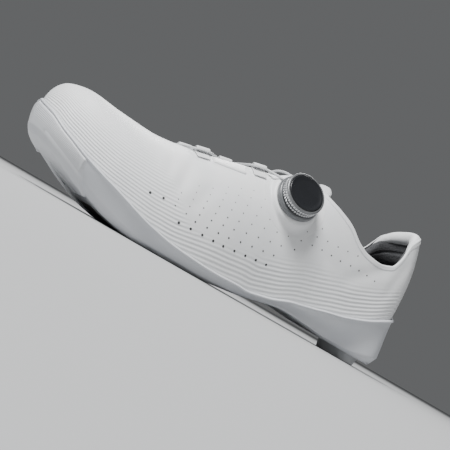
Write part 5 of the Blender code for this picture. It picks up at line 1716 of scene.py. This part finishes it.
def dress_plate(finish):
    split = node(finish, "ShaderNodeSeparateXYZ")
    wire(finish, shoe_coordinates(finish), split.inputs["Vector"])
    across, lengthwise = split.outputs["X"], split.outputs["Y"]
    pitch = 2 * math.pi / (1.5 * MM)
    warp = wave(finish, math_step(finish, "ADD", across, lengthwise), pitch)
    weft = wave(finish, math_step(finish, "SUBTRACT", across, lengthwise), pitch * 4)
    depth = math_step(finish, "ADD", math_step(finish, "MULTIPLY", weft, 0.35), 0.65)
    twill = math_step(finish, "MULTIPLY", warp, depth)
    shade = remap(finish, twill, -1, 1, 0, 1)
    tint(finish, shade, (0.052, 0.053, 0.057), (0.086, 0.087, 0.092))
    gloss(finish, remap(finish, twill, -1, 1, 0.36, 0.48))
    bumps(finish, (shade, 0.15, 0.00004), (noise(finish, 900, 3), 0.2, 0.00005))


dress_plate(plate_finish)
every_slot("cleat_plate", plate_finish)

nut_finish = new_finish("nut_steel", (0.16, 0.16, 0.17), 0.42, Metallic=1.0)
bumps(nut_finish, (noise(nut_finish, 2500, 2), 0.3, 0.00005))
for spot in SLOTS:
    every_slot("cleat_nut_" + spot, nut_finish)

vent_finish = new_finish("vent_dark", (0.016, 0.016, 0.018), 0.75)
bumps(vent_finish, (noise(vent_finish, 1200, 2), 0.4, 0.0001))
for spot in VENTS:
    every_slot("vent_" + spot, vent_finish)

# %% [markdown]
# The insole is a felt faced foam bed. Its edge curls up against the wall, and it fills the tray
# that the sole's floor loops describe.

# %% Insole
INSOLE_THICKNESS = 3 * MM
INSOLE_MARGIN = 0.1
INSOLE_LIFT = 0.9 * MM

insole_finish = new_finish("insole_felt", (0.075, 0.078, 0.085), 0.95, Sheen_Weight=0.3, Sheen_Roughness=0.5)
tint(insole_finish, mottle(insole_finish, 700, 3), (0.05, 0.052, 0.058),
     (0.11, 0.113, 0.12))
bumps(insole_finish, (noise(insole_finish, 1300, 3), 0.6, 0.0003))


def make_insole():
    edge, shoulder, middle = floor_loops()
    lift = np.array([0, 0, INSOLE_LIFT])
    loops = [middle + lift, shoulder + lift, edge + (shoulder - edge) * INSOLE_MARGIN + lift]
    for share in np.linspace(0, 1, 7):
        turn = share * math.pi / 2
        inward = INSOLE_MARGIN * (1.0 + 1.2 * (1 - math.cos(turn)))
        rise = np.array([0, 0, INSOLE_LIFT + INSOLE_THICKNESS * (0.25 + 0.75 * math.sin(turn))])
        loops.append(edge + (shoulder - edge) * inward + rise)
    top = np.array([0, 0, INSOLE_LIFT + INSOLE_THICKNESS])
    loops += [shoulder + top, middle + top]
    faces = grid_faces(len(loops), SOLE_COLUMNS, True)
    return new_piece("insole_bed", np.concatenate(loops), faces, insole_finish)


insole = make_insole()
finished(insole, "insole", "insole")

# %% [markdown]
# The tongue lies under the throat. It is a padded strip of knit: its surface is the upper's own
# section, moved in by the wall, and it swells a little between its edges.

# %% Places on the upper
def angle_at(at, side, reach):
    at = np.asarray(at, float)
    square = side_pick(side, square_lateral(at), square_medial(at))
    return np.arccos(np.clip(reach / lip_base(at, side), 0, 1) ** (square / 2))


def surface_frame(y, side, reach):
    """Point of the upper's outside and its outward normal, at a length and a reach from the ridge."""
    at = np.array([y / LENGTH])
    sides = np.array([side])
    angle = angle_at(at, sides, np.array([reach]))
    point = Vector(section_point(at, sides, angle)[0])
    normal = Vector(section_normal(at, sides, angle)[0])
    return point, normal.normalized()


def surface_rows(lengths, reaches):
    """Points and normals over a patch of the upper: signed reaches from the ridge line at lengths."""
    at = np.broadcast_to(np.asarray(lengths, float) / LENGTH, reaches.shape)
    side = np.where(reaches >= 0, 1, -1)
    angle = angle_at(at, side, np.maximum(np.abs(reaches), 0.01 * MM))
    return section_point(at, side, angle), section_normal(at, side, angle)


# %% Tongue
TONGUE_THICKNESS = 2.6 * MM
TONGUE_WIDTH = 44 * MM
TONGUE_TOP = 0.345 * LENGTH
TONGUE_TUCK = 10 * MM
TONGUE_COLUMNS = 41
TONGUE_ROWS = 90
QUILT_PITCH = 9 * MM
QUILT_DEPTH = 0.35 * MM

tongue_finish = new_finish("tongue_knit", (0.74, 0.75, 0.76), 0.85, Sheen_Weight=0.2, Sheen_Roughness=0.4)


def dress_tongue(finish):
    across, lengthwise = surface_axes(finish)
    pitch = 2 * math.pi / (1.5 * MM)
    stitches = math_step(finish, "MULTIPLY", wave(finish, across, pitch), wave(finish, lengthwise, pitch))
    knit = remap(finish, stitches, -1, 1, 0, 1)
    tint(finish, knit, (0.50, 0.51, 0.52), (0.80, 0.81, 0.82))
    bumps(finish, (knit, 0.6, 0.0003), (noise(finish, 2500, 2), 0.3, 0.0001))


dress_tongue(tongue_finish)


def make_tongue():
    front = THROAT_FRONT + TONGUE_TUCK
    across = np.linspace(-1, 1, TONGUE_COLUMNS)
    lengths = np.linspace(front, TONGUE_TOP, TONGUE_ROWS)
    reach = across[None, :] * TONGUE_WIDTH / 2 * np.ones((TONGUE_ROWS, 1))
    ends = np.clip((lengths - TONGUE_TOP) / (7 * MM), 0, 1)
    reach *= np.sqrt(1 - 0.35 * (1 - ends) ** 2)[:, None]
    skin, normal = surface_rows(lengths[:, None], reach)
    under = WALL + 2 * CLEAR
    edge = np.clip((1 - np.abs(across)) / 0.12, 0, 1)[None, :]
    lip = np.clip((lengths - TONGUE_TOP) / (3 * MM), 0, 1)[:, None]
    round_off = np.sqrt(1 - (1 - edge) ** 2) * np.sqrt(1 - (1 - lip) ** 2)
    quilt = QUILT_DEPTH * np.cos(lengths * 2 * math.pi / QUILT_PITCH)[:, None] * (1 - across[None, :] ** 4)
    full = TONGUE_THICKNESS / 2
    middle = skin - normal * (under + full)
    swell = full * np.maximum(round_off, 0.05)
    top = middle + normal * (swell + np.minimum(quilt, 0) * round_off)[..., None]
    low = middle - normal * swell[..., None]
    uv = np.stack([reach, np.broadcast_to(lengths[:, None], reach.shape)], axis=-1).reshape(-1, 2)
    return new_piece("tongue_padded", *closed_sheet(top, low), tongue_finish, uv=np.concatenate([uv, uv]))


tongue = make_tongue()
finished(tongue, "tongue", "tongue")

# %% [markdown]
# Two thin facings stiffen the edge of the throat where the lace guides pull. Each is a sheet with
# rounded corners that lies on the upper, and its border sinks into the upper's skin.

# %% Facings
FACINGS = {
    "lateral": (1, 0.5575 * LENGTH, 0.6376 * LENGTH),
    "medial": (-1, 0.5854 * LENGTH, 0.6411 * LENGTH),
}
FACING_RAISE = 0.9 * MM
FACING_WIDTH = 9 * MM
FACING_GAP = 0.8 * MM
FACING_SINK = 0.3 * MM
FACING_ROWS = 60
FACING_COLUMNS = 26

facing_finish = new_finish("facing_white", (0.82, 0.825, 0.83), 0.42, Coat_Weight=0.15, Coat_Roughness=0.3)
bumps(facing_finish, (noise(facing_finish, 1800, 2), 0.25, 0.00006))
tint(facing_finish, mottle(facing_finish, 60, 3), (0.79, 0.80, 0.81),
     (0.84, 0.845, 0.85))


def make_facing(spot):
    side, back, front = FACINGS[spot]
    flat_u, flat_v = np.meshgrid(
        np.linspace(-1, 1, FACING_ROWS), np.linspace(-1, 1, FACING_COLUMNS), indexing="ij")
    u = flat_u * np.sqrt(1 - 0.16 * flat_v ** 6)
    v = flat_v * np.sqrt(1 - 0.16 * flat_u ** 6)
    lengths = (back + front) / 2 + u * (front - back) / 2
    near = THROAT_HALF * 1.08 + FACING_GAP
    width = FACING_WIDTH * (0.9 - 0.1 * u)
    reach = side * (near + width * (v + 1) / 2)
    skin, normal = surface_rows(lengths, reach)
    border = np.maximum(flat_u ** 14, flat_v ** 8)
    rise = FACING_RAISE * np.sqrt(np.clip(1 - border, 0, 1)) + CLEAR * 0.5
    top = skin + normal * rise[..., None]
    low = skin - normal * FACING_SINK
    return new_piece("facing_" + spot + "_sheet", *closed_sheet(top, low), facing_finish)


for spot in FACINGS:
    finished(make_facing(spot), "facing", "facing_" + spot)

# %% [markdown]
# The dial winds the lace. Its base, ring and cap are turned on one axis, which stands square on the
# upper's outer side. A profile is spun by code, and the ring's teeth are repeated with Geometry
# Nodes. The soft pad under the dial is laid on the upper's skin and blends into it all round.

# %% Dial's axis and a lathe
DIAL_AT = 0.4321 * LENGTH
DIAL_ANGLE = 51
DIAL_BASE_RADIUS = 15.5 * MM
DIAL_BASE_HEIGHT = 3.6 * MM
DIAL_RING_RADIUS = 14.2 * MM
DIAL_RING_HEIGHT = 6.4 * MM
DIAL_CAP_RADIUS = 12.2 * MM
DIAL_CAP_HEIGHT = 1.5 * MM
DIAL_POST_RADIUS = 6 * MM
DIAL_PAD_RADIUS = 19 * MM
DIAL_SEAT = 3.2 * MM
PAD_EDGE = -2 * MM
PAD_SHOULDER = 1.4 * MM
PAD_SLOPE = 0.8 * MM


def dial_frame():
    at = np.array([DIAL_AT / LENGTH])
    sides = np.array([1])
    angle = np.array([math.radians(DIAL_ANGLE)])
    point = Vector(section_point(at, sides, angle)[0])
    normal = Vector(section_normal(at, sides, angle)[0]).normalized()
    return Matrix.Translation(point) @ normal.to_track_quat("Z", "Y").to_matrix().to_4x4()


DIAL = dial_frame()
DIAL_AXIS = DIAL.to_3x3() @ Vector((0, 0, 1))


def on_dial(radius, turn, height):
    """A place given round the dial's own axis."""
    return DIAL @ Vector((radius * math.cos(turn), radius * math.sin(turn), height))


def turned(name, profile, segments, finish):
    """Solid of revolution on the dial's axis. The profile starts and ends on the axis, or closes."""
    closed = profile[0][0] > 0
    points = []
    for turn in np.linspace(0, 2 * math.pi, segments, endpoint=False):
        points += [on_dial(radius, turn, height) for radius, height in profile]
    rows = len(profile)
    faces = []
    for k in range(segments):
        n = (k + 1) % segments
        for r in range(rows if closed else rows - 1):
            q = (r + 1) % rows
            faces.append((k * rows + r, n * rows + r, n * rows + q, k * rows + q))
    return new_piece(name, points, faces, finish)


def corner_arc(corner, start_turn, radius):
    """Points of a rounded corner in a profile: its centre, the first angle and a quarter turn."""
    turns = np.radians(start_turn + np.linspace(0, 90, 6))
    return [(corner[0] + radius * math.cos(turn), corner[1] + radius * math.sin(turn)) for turn in turns]


# %% Finishes of the dial
dial_grey = new_finish("dial_smoke", (0.11, 0.115, 0.12), 0.38, Coat_Weight=0.4, Coat_Roughness=0.2)
bumps(dial_grey, (noise(dial_grey, 2200, 2), 0.2, 0.00004))
tint(dial_grey, mottle(dial_grey, 120, 3), (0.095, 0.10, 0.105), (0.135, 0.14, 0.147))
dial_silver = new_finish("dial_silver", (0.62, 0.625, 0.635), 0.34, Metallic=0.8)
bumps(dial_silver, (noise(dial_silver, 3000, 2), 0.25, 0.00003))
gloss(dial_silver, mottle(dial_silver, 300, 3, 0.26, 0.4))
dial_black = new_finish("dial_black", (0.014, 0.015, 0.017), 0.26, Specular_IOR_Level=0.35)
bumps(dial_black, (noise(dial_black, 1400, 2), 0.06, 0.00004))
gloss(dial_black, mottle(dial_black, 90, 3, 0.22, 0.30))
dial_rim = new_finish("dial_rim_grey", (0.20, 0.205, 0.21), 0.35, Metallic=0.6)
bumps(dial_rim, (noise(dial_rim, 2600, 2), 0.2, 0.00004))
pad_finish = new_finish("dial_pad_white", (0.80, 0.81, 0.815), 0.48, Coat_Weight=0.1, Coat_Roughness=0.35)
bumps(pad_finish, (noise(pad_finish, 1900, 2), 0.25, 0.00006))
tint(pad_finish, mottle(pad_finish, 60, 3), (0.78, 0.79, 0.80), (0.83, 0.835, 0.84))

# %% Pad under the dial
PAD_FLARE_REACH = 24.5 * MM
PAD_FLARE_BLEND = 1.4 * MM
PAD_COLUMNS = 120
PAD_RADII = np.array([0, 6, 11, 14.6, 15.4, 15.9, 16.4, 16.9, 17.6, 18.3, 19.0]) * MM
PAD_FLARE_STEPS = 9
PROBE_STEP = 0.5 * MM
PROBE_FROM = 20 * MM


def skin_depths(radii, turn):
    """Heights of the upper's skin over the dial's seat plane, along one direction from the axis."""
    depths = []
    for radius in radii:
        start = on_dial(radius, turn, PROBE_FROM) + Vector(SHIFT)
        hit, normal, _, distance = UPPER_SKIN.ray_cast(start, -DIAL_AXIS, 2 * PROBE_FROM)
        if hit is None or normal.dot(DIAL_AXIS) < 0.2:
            break
        depths.append(PROBE_FROM - distance)
    return np.array(depths)


def pad_dome(radius):
    """Height of the pad's plain dome, on down into the upper."""
    corners = (DIAL_BASE_RADIUS, DIAL_BASE_RADIUS + PAD_SHOULDER, DIAL_PAD_RADIUS, PAD_FLARE_REACH)
    return np.interp(radius, corners, (DIAL_SEAT, DIAL_SEAT - PAD_SLOPE, PAD_EDGE, PAD_EDGE - 9 * MM))


def make_dial_pad():
    probe = np.arange(0, PAD_FLARE_REACH + 0.1 * MM, PROBE_STEP)
    turns = np.linspace(0, 2 * math.pi, PAD_COLUMNS, endpoint=False)
    depths = [skin_depths(probe, turn) for turn in turns]
    reach = np.clip([(len(depth) - 2) * PROBE_STEP for depth in depths], DIAL_PAD_RADIUS, PAD_FLARE_REACH)
    for _ in range(12):
        reach = (np.roll(reach, 1) + 2 * reach + np.roll(reach, -1)) / 4
    top = []
    low = []
    for turn, depth, end in zip(turns, depths, reach):
        flare = np.linspace(DIAL_PAD_RADIUS, end, PAD_FLARE_STEPS + 1)[1:]
        radii = np.concatenate([PAD_RADII, flare])
        known = probe[:len(depth)]
        slope = (depth[-1] - depth[-5]) / (known[-1] - known[-5])
        past = depth[-1] + slope * (radii - known[-1])
        skin = np.where(radii <= known[-1], np.interp(radii, known, depth), past)
        height = -soft_least(-pad_dome(radii), -(skin + 0.05 * MM), PAD_FLARE_BLEND)
        height[-1] = skin[-1] - 0.3 * MM
        for radius, over, under in zip(radii, height, skin - 1.0 * MM):
            top.append(on_dial(radius, turn, over))
            low.append(on_dial(radius, turn, min(under, over - 0.5 * MM)))
    rows = len(PAD_RADII) + PAD_FLARE_STEPS
    count = len(top)
    last = (PAD_COLUMNS - 1) * rows
    sheet = grid_faces(PAD_COLUMNS, rows, False)
    sheet += [(last + r, r, r + 1, last + r + 1) for r in range(rows - 1)]
    faces = sheet + [tuple(count + k for k in reversed(face)) for face in sheet]
    for c in range(PAD_COLUMNS):
        here = c * rows + rows - 1
        there = ((c + 1) % PAD_COLUMNS) * rows + rows - 1
        faces.append((here, there, count + there, count + here))
    return new_piece("dial_pad_moulded", top + low, faces, pad_finish)


finished(make_dial_pad(), "dial_pad", "dial_pad")

# %% Base, ring, teeth and cap
BASE_LOW = DIAL_SEAT + CLEAR
BASE_TOP = BASE_LOW + DIAL_BASE_HEIGHT
RING_LOW = BASE_TOP + CLEAR
RING_TOP = RING_LOW + DIAL_RING_HEIGHT
RECESS = RING_TOP - DIAL_CAP_HEIGHT
KNURLS = 48


def make_knurls(tiers, radius):
    """Rounded teeth in rows round the ring: each tier is a height, half a tooth's length and a shift."""
    tree = repeat_tree("beads_on_points", dial_silver, bead_shape)
    spots = []
    facings = []
    sizes = []
    for height, half, shift in tiers:
        for k in range(KNURLS):
            turn = 2 * math.pi * (k + shift) / KNURLS
            spots.append(on_dial(radius, turn, height))
            facings.append(DIAL.to_3x3() @ Vector((math.cos(turn), math.sin(turn), 0)))
            sizes.append((half, 0.42 * 2 * math.pi * radius / KNURLS, 0.5 * MM))
    return repeat_on("dial_knurls", tree, spots, facings, [DIAL_AXIS] * len(spots), sizes, Sides=10)


def make_dial():
    base = [(0, BASE_LOW)] + corner_arc((DIAL_BASE_RADIUS - 0.9 * MM, BASE_LOW + 0.9 * MM), -90, 0.9 * MM)
    base += corner_arc((DIAL_BASE_RADIUS - 1.4 * MM, BASE_TOP - 1.1 * MM), 0, 1.1 * MM)
    base += [(DIAL_POST_RADIUS + 4 * MM, BASE_TOP), (DIAL_POST_RADIUS, BASE_TOP),
             (DIAL_POST_RADIUS, RECESS - CLEAR), (0, RECESS - CLEAR)]
    finished(turned("dial_base_turned", base, 128, dial_grey), "dial_base", "dial_base")
    bore = DIAL_POST_RADIUS + CLEAR
    body = DIAL_RING_RADIUS - 0.55 * MM
    rim = DIAL_CAP_RADIUS + CLEAR
    waist = (RING_LOW + RING_TOP) / 2 - 0.5 * MM
    groove = body - 0.45 * MM
    ring_profile = [(bore, RING_LOW), (body - 0.9 * MM, RING_LOW), (body, RING_LOW + 0.7 * MM),
                    (body, waist - 0.35 * MM), (groove, waist - 0.2 * MM),
                    (groove, waist + 0.2 * MM), (body, waist + 0.35 * MM)]
    ring_profile += corner_arc((body - 0.5 * MM, RING_TOP - 0.8 * MM), 0, 0.8 * MM)
    ring_profile += [(rim, RING_TOP), (rim, RECESS), (bore, RECESS)]
    ring_body = turned("dial_ring_turned", ring_profile, 160, dial_rim)
    sharpen(ring_body, 40)
    tiers = ((RING_LOW + 1.5 * MM, 0.85 * MM, 0), (RING_LOW + 4.3 * MM, 1.25 * MM, 0.5))
    finished(make_knurls(tiers, body), "dial_ring")
    cap = [(0, RECESS + CLEAR), (DIAL_CAP_RADIUS, RECESS + CLEAR), (DIAL_CAP_RADIUS, RING_TOP - 0.2 * MM)]
    cap += corner_arc((DIAL_CAP_RADIUS - 0.5 * MM, RING_TOP - 0.1 * MM), 0, 0.5 * MM)
    cap += [(DIAL_CAP_RADIUS - 1.3 * MM, RING_TOP + 0.34 * MM),
            (DIAL_CAP_RADIUS - 1.7 * MM, RING_TOP + 0.1 * MM),
            (DIAL_CAP_RADIUS - 4 * MM, RING_TOP - 0.02 * MM), (0, RING_TOP - 0.08 * MM)]
    cap_piece = turned("dial_cap_turned", cap, 128, dial_black)
    sharpen(cap_piece, 35)
    finished(cap_piece, "dial_cap", "dial_cap")
    return ring_body


finished(make_dial(), "dial_ring", "dial_ring")

# %% [markdown]
# The guides are short loops of woven tape, folded round the lace at the edge of the throat. Their
# side view is a hook with a flat tab, and the tab is pressed onto the upper.

# %% Lace guides
Guide = namedtuple("Guide", "name side y")
GUIDES = [
    Guide("guide_lateral_front", 1, 0.662 * LENGTH),
    Guide("guide_lateral_rear", 1, 0.526 * LENGTH),
    Guide("guide_medial_front", -1, 0.6638 * LENGTH),
    Guide("guide_medial_middle", -1, 0.561 * LENGTH),
    Guide("guide_medial_rear", -1, 0.4669 * LENGTH),
]
LACE = 1.5 * MM
GUIDE_BORE = 2.6 * MM
GUIDE_WALL = 0.8 * MM
GUIDE_LENGTH = 9 * MM
GUIDE_TAB = 8 * MM
GUIDE_RADIUS = GUIDE_BORE / 2 + GUIDE_WALL
GUIDE_SETBACK = 1.4 * MM
FLARE_BEHIND = 0.5226 * LENGTH
FLARE_NEAR = 1.05
EYE_LEAD = 1.6 * MM
LACE_BEND = 3.2 * MM
LACE_OVER_TONGUE = 1.5 * MM

tape_finish = new_finish("guide_tape", (0.78, 0.79, 0.80), 0.7, Sheen_Weight=0.15, Sheen_Roughness=0.4)


def dress_tape(finish):
    lengthwise, round_loop = surface_axes(finish)
    pitch = 2 * math.pi / (0.8 * MM)
    picks = math_step(finish, "MULTIPLY", wave(finish, round_loop, pitch / 1.4), 0.5)
    threads = math_step(finish, "ADD", wave(finish, lengthwise, pitch), picks)
    weave = remap(finish, threads, -1.5, 1.5, 0, 1)
    tint(finish, weave, (0.62, 0.63, 0.64), (0.84, 0.845, 0.85))
    bumps(finish, (weave, 0.6, 0.0002))


dress_tape(tape_finish)


def guide_frame(guide):
    """Foot of the loop on the upper: along the throat, outwards from it, and up."""
    near = THROAT_HALF * (FLARE_NEAR if guide.y < FLARE_BEHIND else 1.0) + GUIDE_SETBACK
    point, normal = surface_frame(guide.y, guide.side, near)
    further, _ = surface_frame(guide.y, guide.side, near + GUIDE_TAB * 0.6)
    outward = (further - point).normalized()
    ahead, _ = surface_frame(guide.y + GUIDE_LENGTH / 2, guide.side, near)
    behind, _ = surface_frame(guide.y - GUIDE_LENGTH / 2, guide.side, near)
    along_throat = (ahead - behind).normalized()
    up = along_throat.cross(outward).normalized()
    if up.dot(normal) < 0:
        up = -up
    outward = (outward - along_throat * outward.dot(along_throat)).normalized()
    base = (ahead + behind) / 2
    lift = max((point - base).dot(up), 0)
    return base + up * (lift + 1.5 * CLEAR), along_throat, outward, up


def guide_profile():
    """Side view of a guide: out under the tab, round the loop, back inside it and over the tab."""
    steps = 22
    inner = GUIDE_BORE / 2
    points = [(GUIDE_TAB * (1 - k / 6), 0.0) for k in range(7)]
    for k in range(1, steps + 1):
        turn = math.radians(-90 - 250 * k / steps)
        points.append((GUIDE_RADIUS * math.cos(turn), GUIDE_RADIUS + GUIDE_RADIUS * math.sin(turn)))
    for k in range(steps, -1, -1):
        turn = math.radians(-82 - 258 * k / steps)
        points.append((inner * math.cos(turn), GUIDE_RADIUS + inner * math.sin(turn)))
    points += [(GUIDE_TAB * k / 6, GUIDE_WALL * (1 - 0.5 * (k / 6) ** 6)) for k in range(1, 7)]
    return points


def make_guide(guide):
    base, along_throat, outward, up = guide_frame(guide)
    profile = guide_profile()
    spans = GUIDE_LENGTH / 2 * np.sin(np.linspace(-math.pi / 2, math.pi / 2, 13))
    points = []
    uv = []
    walked = np.concatenate([[0], np.cumsum([math.dist(a, b) for a, b in zip(profile, profile[1:])])])
    middle = np.array([(p[0] + q[0], p[1] + q[1]) for p, q in zip(profile, profile[::-1])]) / 2
    for span in spans:
        soften = 1 - 0.45 * (abs(span) / (GUIDE_LENGTH / 2)) ** 12
        for k, (out, rise) in enumerate(profile):
            out = middle[k][0] + (out - middle[k][0]) * soften
            rise = middle[k][1] + (rise - middle[k][1]) * soften
            points.append(base + along_throat * span + outward * out + up * rise)
            uv.append((span, walked[k]))
    faces = capped_faces(len(spans), len(profile))
    piece = new_piece(guide.name + "_tape", points, faces, tape_finish, uv=uv)
    sharpen(piece, 50)
    return piece


for guide in GUIDES:
    finished(make_guide(guide), "webbing", guide.name)

# %% [markdown]
# One thin cable runs from the dial through four guides to the front of the throat, and a short one
# crosses the tongue to the fifth. Both run straight from eye to eye, with a soft arc at each turn.

# %% Lace
lace_finish = new_finish("lace_cable", (0.62, 0.63, 0.64), 0.42, Sheen_Weight=0.1)


def dress_lace(finish):
    walked, turn = surface_axes(finish)
    around = math_step(finish, "MULTIPLY", turn, 2 * math.pi * 6)
    lengthwise = math_step(finish, "MULTIPLY", walked, 2 * math.pi / (1.6 * MM))
    left = math_step(finish, "SINE", math_step(finish, "ADD", around, lengthwise))
    right = math_step(finish, "SINE", math_step(finish, "SUBTRACT", around, lengthwise))
    braid = remap(finish, math_step(finish, "MULTIPLY", left, right), -1, 1, 0, 1)
    tint(finish, braid, (0.42, 0.43, 0.44), (0.74, 0.75, 0.76))
    bumps(finish, (braid, 0.5, 0.00012))


dress_lace(lace_finish)


def eye_points(guide, forward=True):
    base, along_throat, _, up = guide_frame(guide)
    centre = base + up * GUIDE_RADIUS
    reach = GUIDE_LENGTH / 2 + EYE_LEAD
    ends = [centre - along_throat * reach, centre + along_throat * reach]
    return ends if forward else ends[::-1]


def bent_path(points):
    path = [points[0]]
    for before, here, after in zip(points, points[1:], points[2:]):
        path += corner_curve(before, here, after, LACE_BEND, 10)
    return path + [points[-1]]


def tube(name, path, radius, finish):
    """Round tube along a path, its frame carried without twist, closed at both ends."""
    sides = 16
    path = [path[0]] + [b for a, b in zip(path, path[1:]) if (b - a).length > 0.00002]
    across = (path[1] - path[0]).orthogonal().normalized()
    points = []
    uv = []
    walked = 0.0
    for k, here in enumerate(path):
        ahead = (path[min(k + 1, len(path) - 1)] - path[max(k - 1, 0)]).normalized()
        across = (across - ahead * across.dot(ahead)).normalized()
        beside = ahead.cross(across)
        if k:
            walked += (here - path[k - 1]).length
        for s in range(sides):
            turn = 2 * math.pi * s / sides
            points.append(here + (across * math.cos(turn) + beside * math.sin(turn)) * radius)
            uv.append((walked, s / sides))
    return new_piece(name, points, capped_faces(len(path), sides), finish, uv=uv)


def dial_exit(target, height):
    local = DIAL.inverted() @ target
    return on_dial(DIAL_BASE_RADIUS - 1.5 * MM, math.atan2(local.y, local.x), height)


def above_dial_pad(point):
    local = DIAL.inverted() @ point
    reach = math.hypot(local.x, local.y)
    if reach < DIAL_PAD_RADIUS + LACE:
        shoulder = (DIAL_BASE_RADIUS + PAD_SHOULDER, DIAL_PAD_RADIUS)
        top = float(np.interp(reach, shoulder, (DIAL_SEAT - PAD_SLOPE, PAD_EDGE)))
        local.z = max(local.z, top + LACE / 2 + 2 * CLEAR)
    return DIAL @ local


def make_laces():
    eyes = {guide.name: guide for guide in GUIDES}
    exit_height = BASE_LOW + DIAL_BASE_HEIGHT / 2
    route = [dial_exit(eye_points(eyes["guide_lateral_rear"])[0], exit_height)]
    route += eye_points(eyes["guide_lateral_rear"]) + eye_points(eyes["guide_medial_middle"])
    route += eye_points(eyes["guide_lateral_front"]) + eye_points(eyes["guide_medial_front"], False)
    long_piece = tube("lace_long_cable", bent_path(route), LACE / 2, lace_finish)
    crossing = []
    for reach in (9 * MM, 3 * MM, -3 * MM, -9 * MM):
        y = (DIAL_AT + GUIDES[-1].y) / 2 - reach * 0.3
        point, normal = surface_frame(y, 1 if reach > 0 else -1, abs(reach))
        crossing.append(above_dial_pad(point + normal * LACE_OVER_TONGUE))
    route = [dial_exit(crossing[0], exit_height)] + crossing + eye_points(eyes["guide_medial_rear"])
    short_piece = tube("lace_short_cable", bent_path(route), LACE / 2, lace_finish)
    for piece, name in ((long_piece, "lace_long"), (short_piece, "lace_short")):
        sharpen(piece, 50)
        finished(piece, "lace", name)


make_laces()
